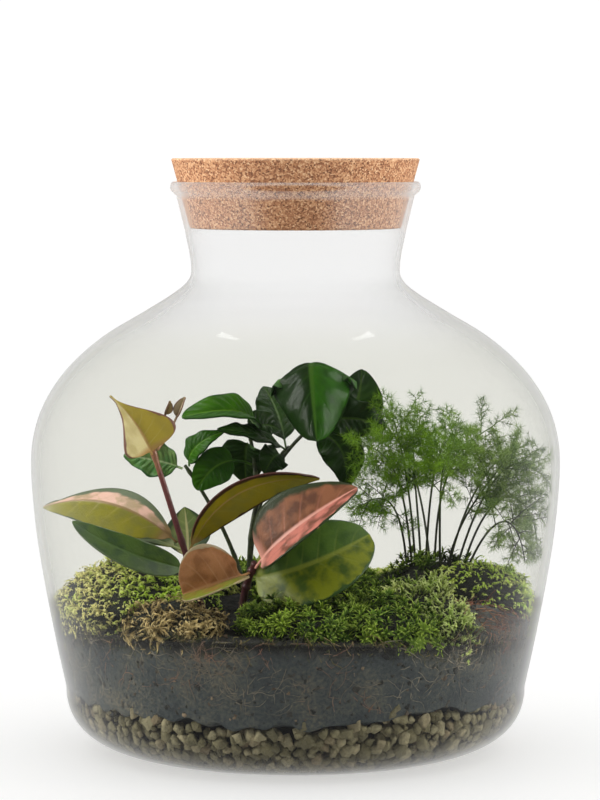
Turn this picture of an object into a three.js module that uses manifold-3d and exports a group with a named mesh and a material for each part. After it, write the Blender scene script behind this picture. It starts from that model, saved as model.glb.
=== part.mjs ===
// A closed glass jar terrarium: a round-shouldered jar with a cork stopper, filled with gravel, potting
// soil and moss, and planted with a red-stemmed peperomia, a young coffee plant and an asparagus fern.
// Millimetres, +Z up. The origin is the centre of the jar's foot on the table, and the front looks
// along -Y.
import * as THREE from "three";
import { mergeVertices } from "three/addons/utils/BufferGeometryUtils.js";
import Module from "manifold-3d";

const wasm = await Module();
wasm.setup();

// ---- Driving dimensions ----
const GAP = 0.3; // clearance left between pieces that touch
const JAR_SIDES = 32; // facets round the jar
const FOOT_RADIUS = 70; // flat ring that the jar stands on
const CORNER_RADIUS = 109.3; // radius where the rounded foot meets the wall
const CORNER_HEIGHT = 30;
const CORNER_POWER = 2.3; // roundness of the foot, 2 would be an ellipse
const CORNER_STEPS = 4;
const FLOOR_THICKNESS = 5;
const WALL_THICKNESS = 2.5;
const NECK_WALL_THICKNESS = 1.9;
const SHOULDER_HEIGHT = 195; // the wall thins from here
const NECK_HEIGHT = 225; // to here
// Outside of the wall from the foot's corner to just under the rim, as [radius, height].
const WALL_OUTLINE = [
  [CORNER_RADIUS, CORNER_HEIGHT],
  [113.6, 50],
  [118.6, 76],
  [123, 104],
  [125.3, 134],
  [123.4, 152],
  [117.2, 167.5],
  [106.5, 182],
  [91, 195.5],
  [72, 207],
  [58.3, 215.5],
  [50.8, 222],
  [49.4, 229],
  [51.8, 243],
  [56.3, 262],
];
const RIM = { radius: 57.6, height: 266, halfWidth: 1.6, halfHeight: 2.5, from: -55, sweep: 250, steps: 5 };
const CORK = { bottomRadius: 50, bottom: 246.6, topRadius: 58.6, top: 279.5, chamfer: 0.6 };

const GRAVEL_TOP = 28;
const GRAVEL_SPOKES = 48;
const GRAVEL_ROWS = 4; // rows of stones up the glass
const GRAVEL_RELIEF = 1.8; // how far the stones stand out of the layer
const GRAVEL_SUNK = GRAVEL_RELIEF + GAP; // how far the layer's own surface lies in from the glass
const GRAVEL_EDGE = 104; // radii where its top is measured
const GRAVEL_MIDDLE = 60;
const SOIL_TOP = 66.5; // at the middle of the jar
const SOIL_EDGE = 113; // radius where its top is measured
const SOIL_RINGS = [94, 70, 46, 22];
const SOIL_ROWS = 3;
const SOIL_SPOKES = 32;
const MOSS_SPOKES = 16;
const MOSS_RINGS = [0.35, 0.68, 0.92]; // shares of a cushion's reach
const MOSS_BROW = 0.28; // share of its height that a cushion loses towards its edge
const MOSS_RELIEF = 1.6;
const MOSS_LIFT = 0.7; // a moss cushion rests this far above the mean soil surface
const HOLE_LENGTH = 30; // holes for stems run out through the top of the soil or moss

const LEAF_STATIONS = 5; // steps along a blade
const PETIOLE_STATIONS = 2;
const LEAF_STRIPS = 4; // strips across a blade
const STEM_STEPS = 6;
const STALK_SIDES = 4;
const STALK_STEPS = 6;

// ---- Colours of the real materials ----
const LOOKS = {
  glass: { color: 0xe9eeea, roughness: 0.04, metalness: 0, transparent: true, opacity: 0.25 },
  cork: { color: 0xc9965f, roughness: 0.85, metalness: 0 },
  gravel: { color: 0x77715c, roughness: 0.9, metalness: 0 },
  soil: { color: 0x2f2c28, roughness: 0.95, metalness: 0 },
  moss_green: { color: 0x6f8f22, roughness: 0.9, metalness: 0 },
  moss_pale: { color: 0xa8b35a, roughness: 0.9, metalness: 0 },
  moss_dried: { color: 0x9a7d4a, roughness: 0.95, metalness: 0 },
  red_stem: { color: 0x6b3535, roughness: 0.5, metalness: 0 },
  peperomia_leaf: { color: 0x7f8a2c, roughness: 0.4, metalness: 0 },
  pink_leaf: { color: 0xc9776a, roughness: 0.4, metalness: 0 },
  coffee_stem: { color: 0x2b3320, roughness: 0.6, metalness: 0 },
  coffee_leaf: { color: 0x1f4a17, roughness: 0.3, metalness: 0 },
  fern: { color: 0x5c8a2c, roughness: 0.6, metalness: 0 },
};

const terrarium = new THREE.Group();
terrarium.name = "terrarium";

const V = (x, y, z) => new THREE.Vector3(x, y, z);

// ---- Helpers: closed bodies, joins and cuts ----
function place(name, geometry, look, parent = terrarium) {
  const mesh = new THREE.Mesh(geometry, new THREE.MeshStandardMaterial(LOOKS[look]));
  mesh.name = name;
  parent.add(mesh);
  return mesh;
}

function bodyOf(points, triangles) {
  const geometry = new THREE.BufferGeometry();
  const numbers = points.flatMap((p) => [p.x, p.y, p.z]);
  geometry.setAttribute("position", new THREE.Float32BufferAttribute(numbers, 3));
  geometry.setIndex(triangles.flat());
  return geometry;
}

function solidOf(geometry) {
  const bare = geometry.clone();
  bare.deleteAttribute("normal");
  bare.deleteAttribute("uv");
  const merged = mergeVertices(bare, 1e-3);
  return new wasm.Manifold(
    new wasm.Mesh({
      numProp: 3,
      vertProperties: new Float32Array(merged.attributes.position.array),
      triVerts: new Uint32Array(merged.index.array),
    }),
  );
}

function geometryOf(solid) {
  const mesh = solid.getMesh();
  const geometry = new THREE.BufferGeometry();
  const numbers = new Float32Array(mesh.vertProperties);
  geometry.setAttribute("position", new THREE.BufferAttribute(numbers, 3));
  geometry.setIndex(new THREE.BufferAttribute(new Uint32Array(mesh.triVerts), 1));
  return geometry;
}

// Joins bodies into one and keeps the largest piece, so that no loose scrap stays.
function fused(geometries) {
  const whole = wasm.Manifold.union(geometries.map(solidOf));
  const pieces = whole.decompose().sort((a, b) => b.volume() - a.volume());
  return geometryOf(pieces[0]);
}

// Two triangles for a plain four-cornered facet, or the four sides of a pyramid on it.
function facet(corners, apex, points) {
  const [a, b, c, d] = corners;
  if (!apex) return [[a, b, d], [b, c, d]];
  points.push(apex);
  const top = points.length - 1;
  return [[a, b, top], [b, c, top], [c, d, top], [d, a, top]];
}

// A body turned about Z whose outline may change with the angle. It starts and ends on the axis.
// Where raise returns a point for a four-cornered facet, the facet is raised to a pyramid with that apex.
function turned(spokes, outlineAt, raise = () => null) {
  const outlines = Array.from({ length: spokes }, (_, i) => outlineAt((2 * Math.PI * i) / spokes, i));
  const inner = outlines[0].length - 2;
  const points = [V(0, 0, outlines[0][0][1])];
  outlines.forEach((outline, i) => {
    const angle = (2 * Math.PI * i) / spokes;
    for (let j = 1; j <= inner; j++) {
      points.push(V(outline[j][0] * Math.cos(angle), outline[j][0] * Math.sin(angle), outline[j][1]));
    }
  });
  points.push(V(0, 0, outlines[0][inner + 1][1]));
  const last = points.length - 1;
  const triangles = [];
  for (let i = 0; i < spokes; i++) {
    const here = 1 + i * inner;
    const next = 1 + ((i + 1) % spokes) * inner;
    triangles.push([0, next, here]);
    for (let j = 0; j < inner - 1; j++) {
      const corners = [here + j, next + j, next + j + 1, here + j + 1];
      const apex = raise(i, j, corners.map((c) => points[c]));
      triangles.push(...facet(corners, apex, points));
    }
    triangles.push([here + inner - 1, next + inner - 1, last]);
  }
  return bodyOf(points, triangles);
}

// A round rod along a curve.
function rod(curve, radius, sides, steps) {
  const section = new THREE.Shape();
  for (let i = 0; i < sides; i++) {
    const angle = (2 * Math.PI * i) / sides;
    section[i ? "lineTo" : "moveTo"](radius * Math.cos(angle), radius * Math.sin(angle));
  }
  section.closePath();
  return new THREE.ExtrudeGeometry(section, { steps, bevelEnabled: false, extrudePath: curve });
}

const bezier = (route) => new THREE.CubicBezierCurve3(...route.map((p) => V(...p)));

// ---- The jar ----
const footCurve = (flat, side, low, high) => (share) => {
  const angle = (Math.PI / 2) * share;
  const out = Math.sin(angle) ** (2 / CORNER_POWER);
  const down = Math.cos(angle) ** (2 / CORNER_POWER);
  return [flat + (side - flat) * out, low + (high - low) * (1 - down)];
};

const wallSpline = new THREE.SplineCurve(WALL_OUTLINE.map((p) => new THREE.Vector2(...p)));
const WALL_STEPS = WALL_OUTLINE.length - 1;

// The inside lies one wall thickness in from the outside, thinner in the neck.
function wallInside(share) {
  const point = wallSpline.getPoint(share);
  const tangent = wallSpline.getTangent(share);
  const thinning = THREE.MathUtils.smoothstep(point.y, SHOULDER_HEIGHT, NECK_HEIGHT);
  const thickness = THREE.MathUtils.lerp(WALL_THICKNESS, NECK_WALL_THICKNESS, thinning);
  return [point.x - tangent.y * thickness, point.y + tangent.x * thickness];
}

function jarOutlines() {
  const [insideRadius, insideHeight] = wallInside(0);
  const outer = footCurve(FOOT_RADIUS, CORNER_RADIUS, 0, CORNER_HEIGHT);
  const inner = footCurve(FOOT_RADIUS - WALL_THICKNESS, insideRadius, FLOOR_THICKNESS, insideHeight);
  const outside = [];
  const inside = [];
  for (let i = 0; i <= CORNER_STEPS; i++) {
    outside.push(outer(i / CORNER_STEPS));
    inside.push(inner(i / CORNER_STEPS));
  }
  for (let i = 1; i <= WALL_STEPS; i++) {
    outside.push(wallSpline.getPoint(i / WALL_STEPS).toArray());
    inside.push(wallInside(i / WALL_STEPS));
  }
  return { outside, inside };
}

const { outside: JAR_OUTSIDE, inside: JAR_INSIDE } = jarOutlines();

// The rounded bead of the rim, from the outside of the neck over the top to its inside.
function rimArc() {
  const { radius, height, halfWidth, halfHeight, from, sweep, steps } = RIM;
  const arc = [];
  for (let i = 0; i <= steps; i++) {
    const angle = THREE.MathUtils.degToRad(from + (sweep * i) / steps);
    arc.push([radius + halfWidth * Math.cos(angle), height + halfHeight * Math.sin(angle)]);
  }
  return arc;
}

function makeJar() {
  const outline = [[0, 0], ...JAR_OUTSIDE, ...rimArc(), ...JAR_INSIDE.toReversed(), [0, FLOOR_THICKNESS]];
  place("glass_jar", turned(JAR_SIDES, () => outline), "glass");
}

function makeCork() {
  const { bottomRadius, bottom, topRadius, top, chamfer } = CORK;
  const outline = [
    [0, bottom],
    [bottomRadius - chamfer, bottom],
    [bottomRadius, bottom + chamfer],
    [topRadius, top - chamfer],
    [topRadius - chamfer, top],
    [0, top],
  ];
  place("cork_stopper", turned(JAR_SIDES, () => outline), "cork");
}

// Radius free for the filling at a height: the faceted wall's flats, less the gap.
function roomAt(height) {
  const wall = JAR_INSIDE;
  let i = 1;
  while (i < wall.length - 1 && wall[i][1] < height) i++;
  const [lowRadius, lowHeight] = wall[i - 1];
  const [highRadius, highHeight] = wall[i];
  const share = THREE.MathUtils.clamp((height - lowHeight) / (highHeight - lowHeight), 0, 1);
  return THREE.MathUtils.lerp(lowRadius, highRadius, share) * Math.cos(Math.PI / JAR_SIDES) - GAP;
}

// ---- Gravel and soil ----
// A smooth hill of height 1 with its own spread along X and Y.
const hill = (x, y, cx, cy, rx, ry) => Math.exp(-(((x - cx) / rx) ** 2) - ((y - cy) / ry) ** 2);

// The gravel is heaped a little at the front right, and both layers fall towards the sides.
const gravelTopAt = (x, y) => GRAVEL_TOP + 4 * hill(x, y, 55, -85, 30, 30) - 5 * (x / 110) ** 2;

function soilTopAt(x, y) {
  const toSide = x / 110;
  return SOIL_TOP - 9 * Math.abs(toSide) ** 2.5 - 2.5 * toSide + 1.5 * Math.cos(y / 40);
}

// The stones show as facets raised towards the glass.
function makeGravel() {
  const floor = FLOOR_THICKNESS + GAP;
  const outline = (angle) => {
    const x = Math.cos(angle);
    const y = Math.sin(angle);
    const edgeTop = gravelTopAt(GRAVEL_EDGE * x, GRAVEL_EDGE * y) - GRAVEL_SUNK;
    const points = [[0, floor], [FOOT_RADIUS - 8, floor]];
    for (let row = 0; row <= GRAVEL_ROWS; row++) {
      const height = THREE.MathUtils.lerp(floor + 1.5, edgeTop, row / GRAVEL_ROWS);
      points.push([roomAt(height) - GRAVEL_SUNK, height]);
    }
    points.push([GRAVEL_MIDDLE, gravelTopAt(GRAVEL_MIDDLE * x, GRAVEL_MIDDLE * y) - GRAVEL_SUNK]);
    points.push([0, GRAVEL_TOP - GRAVEL_SUNK]);
    return points;
  };
  const stone = (spoke, row, corners) => {
    if (row < 1 || row > GRAVEL_ROWS) return null;
    const aside = 0.5 + 0.18 * Math.sin(5 * spoke + 3 * row);
    const up = 0.5 + 0.2 * Math.cos(7 * spoke + 2 * row);
    const low = corners[0].clone().lerp(corners[1], aside);
    const high = corners[3].clone().lerp(corners[2], aside);
    const apex = low.lerp(high, up);
    const out = Math.hypot(apex.x, apex.y);
    return apex.multiply(V(1 + GRAVEL_RELIEF / out, 1 + GRAVEL_RELIEF / out, 1));
  };
  place("gravel_layer", turned(GRAVEL_SPOKES, outline, stone), "gravel");
}

// The soil fills the jar from the gravel up, with a few crumbs missing where it meets the glass.
function soilBody() {
  const above = 3 * GAP - GRAVEL_SUNK;
  const outline = (angle, spoke) => {
    const x = Math.cos(angle);
    const y = Math.sin(angle);
    const points = [[0, GRAVEL_TOP + above]];
    points.push([GRAVEL_MIDDLE, gravelTopAt(GRAVEL_MIDDLE * x, GRAVEL_MIDDLE * y) + above]);
    const low = gravelTopAt(GRAVEL_EDGE * x, GRAVEL_EDGE * y) + above;
    const high = soilTopAt(SOIL_EDGE * x, SOIL_EDGE * y);
    for (let row = 0; row <= SOIL_ROWS; row++) {
      const height = THREE.MathUtils.lerp(low, high, row / SOIL_ROWS);
      const crumb = (spoke * 7 + row * 3) % 5 === 0 ? 1 : 0;
      points.push([roomAt(height) - crumb, height]);
    }
    for (const radius of SOIL_RINGS) points.push([radius, soilTopAt(radius * x, radius * y)]);
    points.push([0, soilTopAt(0, 0)]);
    return points;
  };
  return turned(SOIL_SPOKES, outline);
}

// ---- Moss ----
// Height of the moss: a mound on the left and the right and a lower bank in front, falling to the glass.
function mossTopAt(x, y) {
  const toGlass = Math.hypot(x, y) / 114;
  return (
    78 +
    13 * hill(x, y, -80, -12, 34, 46) +
    12 * hill(x, y, 80, -4, 40, 44) +
    5 * hill(x, y, 10, -36, 40, 25) -
    0.09 * Math.max(0, -46 - y) -
    0.06 * Math.max(0, y - 20) -
    5 * toGlass ** 9
  );
}

// Cushions of moss, each with its own stretch of ground. A bare spot is open soil between them.
const CUSHIONS = [
  { name: "moss_mound_left", at: [-78, -24], reach: 44, look: "moss_green" },
  { name: "moss_back_left", at: [-62, 48], reach: 42, look: "moss_green" },
  { name: "moss_dried_tuft", at: [-55, -80], reach: 22, look: "moss_dried", swell: 1.2 },
  { name: "moss_bank_front", at: [4, -66], reach: 36, look: "moss_green" },
  { name: "moss_bright_tuft", at: [43, -78], reach: 22, look: "moss_green", swell: 1.15 },
  { name: "moss_pale_tuft", at: [62, -58], reach: 26, look: "moss_pale", swell: 1.1 },
  { name: "root_mat_right", at: [88, -52], reach: 26, look: "moss_dried", swell: 0.62 },
  { name: "moss_mound_right", at: [94, -8], reach: 34, look: "moss_green", fern: true },
  { name: "moss_fern_bed", at: [62, 16], reach: 28, look: "moss_green", fern: true },
  { name: "moss_back_right", at: [48, 66], reach: 40, look: "moss_green" },
  { name: "moss_back", at: [-6, 66], reach: 36, look: "moss_green" },
  { name: "moss_middle", at: [14, -12], reach: 28, look: "moss_green" },
];
const BARE_SPOTS = [
  { at: [-32, -58], reach: 22 },
  { at: [-26, 12], reach: 16 },
];

function cushionReach(cushion, angle) {
  const [cx, cy] = cushion.at;
  const ux = Math.cos(angle);
  const uy = Math.sin(angle);
  let reach = cushion.reach * (1 + 0.06 * Math.sin(3 * angle + cx));
  // The glass: where the ray leaves the round room.
  const room = roomAt(soilTopAt(cx, cy)) - 0.6;
  const along = cx * ux + cy * uy;
  reach = Math.min(reach, Math.sqrt(along ** 2 + room ** 2 - cx ** 2 - cy ** 2) - along);
  // The neighbours: a straight border, shared out by how far each spreads.
  for (const other of [...CUSHIONS, ...BARE_SPOTS]) {
    if (other === cushion) continue;
    const dx = other.at[0] - cx;
    const dy = other.at[1] - cy;
    const towards = dx * ux + dy * uy;
    if (towards <= 0) continue;
    const share = cushion.reach / (cushion.reach + other.reach);
    reach = Math.min(reach, ((dx * dx + dy * dy) * share) / towards - GAP / 2 - 0.1);
  }
  return reach;
}

function cushionBody(cushion) {
  const [cx, cy] = cushion.at;
  const swell = cushion.swell ?? 1;
  const rings = MOSS_RINGS;
  const topAt = (x, y, share) => {
    const low = soilTopAt(x, y);
    return low + (mossTopAt(x, y) - low) * swell * (1 - MOSS_BROW * share ** 4);
  };
  const points = [V(cx, cy, topAt(cx, cy, 0))];
  for (let i = 0; i < MOSS_SPOKES; i++) {
    const angle = (2 * Math.PI * i) / MOSS_SPOKES;
    const reach = cushionReach(cushion, angle);
    rings.forEach((share, ring) => {
      const x = cx + reach * share * Math.cos(angle);
      const y = cy + reach * share * Math.sin(angle);
      points.push(V(x, y, topAt(x, y, share) + ((i + ring) % 2 ? MOSS_RELIEF : 0)));
    });
    for (const [share, rise] of [[1, 0.5], [0.97, 0], [0.5, 0]]) {
      const x = cx + reach * share * Math.cos(angle);
      const y = cy + reach * share * Math.sin(angle);
      const foot = soilTopAt(x, y) + MOSS_LIFT;
      points.push(V(x, y, THREE.MathUtils.lerp(foot, topAt(x, y, 1), rise)));
    }
  }
  points.push(V(cx, cy, soilTopAt(cx, cy) + MOSS_LIFT));
  const last = points.length - 1;
  const inner = rings.length + 3;
  const triangles = [];
  for (let i = 0; i < MOSS_SPOKES; i++) {
    const here = 1 + i * inner;
    const next = 1 + ((i + 1) % MOSS_SPOKES) * inner;
    triangles.push([0, here, next]);
    for (let j = 0; j < inner - 1; j++) {
      triangles.push([here + j, here + j + 1, next + j]);
      triangles.push([next + j, here + j + 1, next + j + 1]);
    }
    triangles.push([here + inner - 1, last, next + inner - 1]);
  }
  return bodyOf(points, triangles);
}

// A plain round hole for a stem: it starts just under the stem's foot and leans the way the stem leans.
function hole(route, radius) {
  const foot = V(...route[0]);
  const along = V(...route[1]).sub(foot).normalize();
  const plug = new THREE.CylinderGeometry(radius, radius, HOLE_LENGTH, 6);
  plug.applyQuaternion(new THREE.Quaternion().setFromUnitVectors(V(0, 1, 0), along));
  const middle = foot.addScaledVector(along, HOLE_LENGTH / 2 - 2 * GAP);
  plug.translate(middle.x, middle.y, middle.z);
  return plug;
}

function drilled(body, holes) {
  if (!holes.length) return body;
  return geometryOf(solidOf(body).subtract(wasm.Manifold.union(holes.map(solidOf))));
}

// ---- Leaves ----
// A leaf grows from its stem "at" a share of the stem's length. Its curved midrib runs by way of "bend" to
// its tip: a petiole, then a blade. "facing" is the way its upper side looks. "fold" lifts the two halves
// into a V, "cup" curls the edges up and "wave" ripples them. "belly" moves the widest part towards the
// base below 1, and "full" below 1 blunts the ends.
const LEAF = { fold: 15, cup: 0, wave: 0, waves: 3, belly: 0.85, full: 0.75, thickness: 0.8 };
const SEAT = GAP + 0.05; // between a petiole's foot and its stem
const LEAST_HALF_WIDTH = 0.45; // half the width of a petiole and of a tip
const leafRooms = []; // points on the blades that the fern's needles keep away from

function leafPoint(leaf, share, side) {
  const { midrib, facing, width, petiole, fold, cup, wave, waves, belly, full } = { ...LEAF, ...leaf };
  const curve = new THREE.QuadraticBezierCurve3(...midrib);
  const centre = curve.getPoint(share);
  const along = curve.getTangent(share);
  const sideways = curve.v2.clone().sub(curve.v0).cross(V(...facing)).normalize();
  const across = sideways.addScaledVector(along, -sideways.dot(along)).normalize();
  const normal = across.clone().cross(along).normalize();
  const inBlade = THREE.MathUtils.clamp((share - petiole) / (1 - petiole), 0, 1);
  const swell = Math.sin(Math.PI * inBlade ** belly) ** full;
  const half = Math.max(LEAST_HALF_WIDTH, (width / 2) * swell);
  const out = Math.abs(side);
  const angle = THREE.MathUtils.degToRad(fold) * Math.min(1, 3 * swell);
  const ripple = wave * swell * out ** 2 * Math.sin(2 * Math.PI * waves * inBlade + (side < 0 ? 1.3 : 0));
  const lift = half * out * Math.sin(angle) + cup * swell * out ** 2 + ripple;
  const spread = half * side * Math.cos(angle);
  return { point: centre.addScaledVector(across, spread).addScaledVector(normal, lift), normal };
}

// Stations stand closer together towards both ends of a blade, where its outline turns most.
const bladeStation = (share) => (share + 0.5 - 0.5 * Math.cos(Math.PI * share)) / 2;

// The midrib of a leaf whose petiole starts just clear of the stem: every corner of its foot is tested.
function seatedMidrib(leaf, stem) {
  const { at, bend, tip, thickness } = { ...LEAF, ...leaf };
  const foot = stem.curve.getPoint(at);
  const along = stem.curve.getTangent(at);
  const out = V(...bend).sub(foot).projectOnPlane(along).normalize();
  let reach = stem.radius + SEAT;
  let midrib = [];
  for (let round = 0; round < 4; round++) {
    midrib = [foot.clone().addScaledVector(out, reach), V(...bend), V(...tip)];
    const corners = [-1, 1].flatMap((side) => {
      const { point, normal } = leafPoint({ ...leaf, midrib }, 0, side);
      return [point, point.clone().addScaledVector(normal, -thickness)];
    });
    const nearest = Math.min(...corners.map((corner) => corner.sub(foot).projectOnPlane(along).length()));
    reach += stem.radius + SEAT - nearest;
  }
  return midrib;
}

function leafBody(shape, stem) {
  const leaf = { ...shape, midrib: seatedMidrib(shape, stem) };
  const { petiole, thickness } = { ...LEAF, ...leaf };
  const shares = [];
  for (let i = 0; i < PETIOLE_STATIONS; i++) shares.push((petiole * i) / PETIOLE_STATIONS);
  for (let i = 0; i <= LEAF_STATIONS; i++) {
    shares.push(THREE.MathUtils.lerp(petiole, 1, bladeStation(i / LEAF_STATIONS)));
  }
  const across = LEAF_STRIPS + 1;
  const points = [];
  for (const share of shares) {
    const tops = [];
    const undersides = [];
    for (let j = 0; j < across; j++) {
      const { point, normal } = leafPoint(leaf, share, -1 + (2 * j) / LEAF_STRIPS);
      tops.push(point);
      undersides.push(point.clone().addScaledVector(normal, -thickness));
      if (share > petiole) leafRooms.push(point.clone());
    }
    points.push(...tops, ...undersides);
  }
  const row = 2 * across;
  const triangles = [];
  for (let i = 0; i < shares.length - 1; i++) {
    const a = i * row;
    const b = a + row;
    for (let j = 0; j < LEAF_STRIPS; j++) {
      triangles.push([a + j, a + j + 1, b + j], [a + j + 1, b + j + 1, b + j]);
      const [c, d] = [a + across + j, b + across + j];
      triangles.push([c, d, c + 1], [c + 1, d, d + 1]);
    }
    for (const [j, turn] of [[0, false], [LEAF_STRIPS, true]]) {
      const edge = [[a + j, b + j, a + across + j], [b + j, b + across + j, a + across + j]];
      triangles.push(...edge.map((t) => (turn ? t.toReversed() : t)));
    }
  }
  const end = (shares.length - 1) * row;
  for (let j = 0; j < LEAF_STRIPS; j++) {
    const [top, under] = [end + j, end + across + j];
    triangles.push([j, across + j, j + 1], [j + 1, across + j, across + j + 1]);
    triangles.push([top, top + 1, under], [top + 1, under + 1, under]);
  }
  return bodyOf(points, triangles);
}

// ---- The peperomia: two red stems with thick oval leaves ----
const PEPEROMIA_STEMS = [
  {
    name: "peperomia_stem_tall",
    radius: 1.5,
    route: [[-39, -46, 60], [-48, -46, 89], [-57, -45, 118], [-66, -44, 146]],
  },
  {
    name: "peperomia_stem_short",
    radius: 1.9,
    route: [[-25, -54, 60], [-25, -53, 76], [-23, -55, 86], [-18, -60, 95]],
  },
];
const PEPEROMIA_LEAVES = [
  {
    name: "peperomia_leaf_top",
    stem: "peperomia_stem_tall",
    at: 0.97,
    bend: [-72, -52, 160],
    tip: [-85, -50, 171],
    facing: [0.4, -0.85, 0.4],
    width: 34,
    petiole: 0.05,
    fold: 32,
    belly: 0.5,
    full: 1.2,
  },
  {
    name: "peperomia_leaf_upper_left",
    stem: "peperomia_stem_tall",
    at: 0.5,
    bend: [-84, -46, 137],
    tip: [-117, -14, 118],
    facing: [-0.15, -0.85, 0.5],
    width: 28,
    petiole: 0.05,
    fold: -35,
  },
  {
    name: "peperomia_leaf_lower_left",
    stem: "peperomia_stem_tall",
    at: 0.38,
    bend: [-76, -68, 104],
    tip: [-102, -58, 114],
    facing: [-0.1, -0.85, 0.5],
    width: 23,
    petiole: 0.05,
    fold: 14,
    belly: 0.6,
  },
  {
    name: "peperomia_leaf_round_back",
    stem: "peperomia_stem_tall",
    at: 0.4,
    bend: [-45, -25, 103],
    tip: [-45, -22, 118],
    facing: [0, -0.9, 0.4],
    width: 24,
    petiole: 0.1,
    fold: 12,
  },
  {
    name: "peperomia_leaf_back_left",
    stem: "peperomia_stem_tall",
    at: 0.52,
    bend: [-76, -26, 110],
    tip: [-84, 2, 103],
    facing: [0.1, -0.5, 0.85],
    width: 16,
    petiole: 0.1,
    fold: 10,
  },
  {
    name: "peperomia_leaf_cupped",
    stem: "peperomia_stem_short",
    at: 0.86,
    bend: [-36, -88, 97],
    tip: [-54, -84, 79],
    facing: [0.1, -0.75, 0.65],
    width: 27,
    petiole: 0.22,
    fold: 18,
    cup: 2.5,
    belly: 1,
    look: "pink_leaf",
  },
  {
    name: "peperomia_leaf_olive_arch",
    stem: "peperomia_stem_tall",
    at: 0.48,
    bend: [-40, -60, 140],
    tip: [11, -46, 133],
    facing: [-0.35, 0.75, 0.55],
    width: 22,
    petiole: 0.05,
    fold: -20,
  },
  {
    name: "peperomia_leaf_pink",
    stem: "peperomia_stem_short",
    at: 0.97,
    bend: [5, -80, 114],
    tip: [28, -72, 131],
    facing: [-0.3, -0.62, 0.72],
    width: 41,
    petiole: 0.04,
    fold: 32,
    belly: 0.6,
    look: "pink_leaf",
  },
  {
    name: "peperomia_leaf_broad_right",
    stem: "peperomia_stem_short",
    at: 0.6,
    bend: [7, -82, 93],
    tip: [34, -58, 108],
    facing: [-0.25, -0.9, 0.4],
    width: 35,
    petiole: 0.04,
    fold: 8,
    belly: 1.25,
    full: 0.6,
  },
];

// ---- The coffee plant: thin dark stems with glossy waved leaves ----
const COFFEE_BLADE = { petiole: 0.12, fold: 8, wave: 1.4, belly: 0.8, full: 0.8 };
const COFFEE_STEM = {
  radius: 1.1,
  routes: {
    left: [[-22, 12, 60], [-26, 12, 90], [-40, 11, 114], [-53, 11, 133]],
    middle: [[-22, 12, 60], [-24, 14, 104], [-20, 20, 124], [-3, 22, 141]],
    right: [[-22, 12, 60], [-24, 15, 108], [-14, 22, 136], [14, 22, 155]],
    crown: [[-19, 17, 117], [-19, 20, 128], [-20, 22, 138], [-22, 20, 146]],
  },
};
const COFFEE_LEAVES = [
  {
    name: "coffee_leaf_crown_left",
    stem: "crown",
    at: 0.97,
    bend: [-34, 0, 167],
    tip: [-53, 6, 156],
    facing: [-0.1, -0.75, 0.65],
    width: 20,
  },
  {
    name: "coffee_leaf_low_left",
    stem: "left",
    at: 0.95,
    bend: [-47, -1, 147],
    tip: [-36, 4, 154],
    facing: [-0.4, -0.7, 0.5],
    width: 17,
  },
  {
    name: "coffee_leaf_far_left",
    stem: "left",
    at: 0.99,
    bend: [-70, 18, 139],
    tip: [-84, 22, 133],
    facing: [0, -0.7, 0.7],
    width: 17,
  },
  {
    name: "coffee_leaf_round",
    stem: "crown",
    at: 0.5,
    bend: [-37, 3, 137],
    tip: [-46, 2, 121],
    facing: [0.1, -0.95, 0.2],
    width: 21,
  },
  {
    name: "coffee_leaf_narrow",
    stem: "middle",
    at: 0.97,
    bend: [-16, -6, 151],
    tip: [-39, -6, 152],
    facing: [0.1, -0.4, 0.9],
    width: 13,
  },
  {
    name: "coffee_leaf_small_crown",
    stem: "crown",
    at: 0.98,
    bend: [-17, 27, 155],
    tip: [-7, 28, 148],
    facing: [0, -0.7, 0.7],
    width: 14,
  },
  {
    name: "coffee_leaf_drooping",
    stem: "right",
    at: 0.98,
    bend: [-2, 10, 212],
    tip: [0, -18, 144],
    facing: [-0.2, -0.6, 0.8],
    width: 31,
    belly: 1.15,
    full: 0.55,
  },
  {
    name: "coffee_leaf_upright",
    stem: "right",
    at: 0.99,
    bend: [13, 38, 172],
    tip: [10, 42, 183],
    facing: [0, -0.9, 0.3],
    width: 24,
  },
  {
    name: "coffee_leaf_right",
    stem: "right",
    at: 0.95,
    bend: [28, 8, 166],
    tip: [43, 12, 159],
    facing: [0.1, -0.85, 0.5],
    width: 28,
  },
  {
    name: "coffee_leaf_hanging_right",
    stem: "right",
    at: 0.91,
    bend: [27, 4, 147],
    tip: [24, 6, 122],
    facing: [0.2, -0.9, 0.3],
    width: 20,
  },
  {
    name: "coffee_leaf_hanging_left",
    stem: "crown",
    at: 0.88,
    bend: [-31, 22, 142],
    tip: [-29, 26, 125],
    facing: [-0.2, -0.9, 0.3],
    width: 14,
  },
  {
    name: "coffee_leaf_hanging_middle",
    stem: "middle",
    at: 0.92,
    bend: [-12, 6, 138],
    tip: [-14, 8, 122],
    facing: [0.2, -0.9, 0.2],
    width: 15,
  },
  {
    name: "coffee_leaf_back",
    stem: "middle",
    at: 0.98,
    bend: [-8, 50, 158],
    tip: [-16, 62, 167],
    facing: [0, -0.6, 0.8],
    width: 18,
  },
  {
    name: "coffee_leaf_back_right",
    stem: "right",
    at: 0.93,
    bend: [30, 46, 158],
    tip: [34, 64, 148],
    facing: [0.2, 0.2, 0.95],
    width: 20,
  },
];

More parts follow.
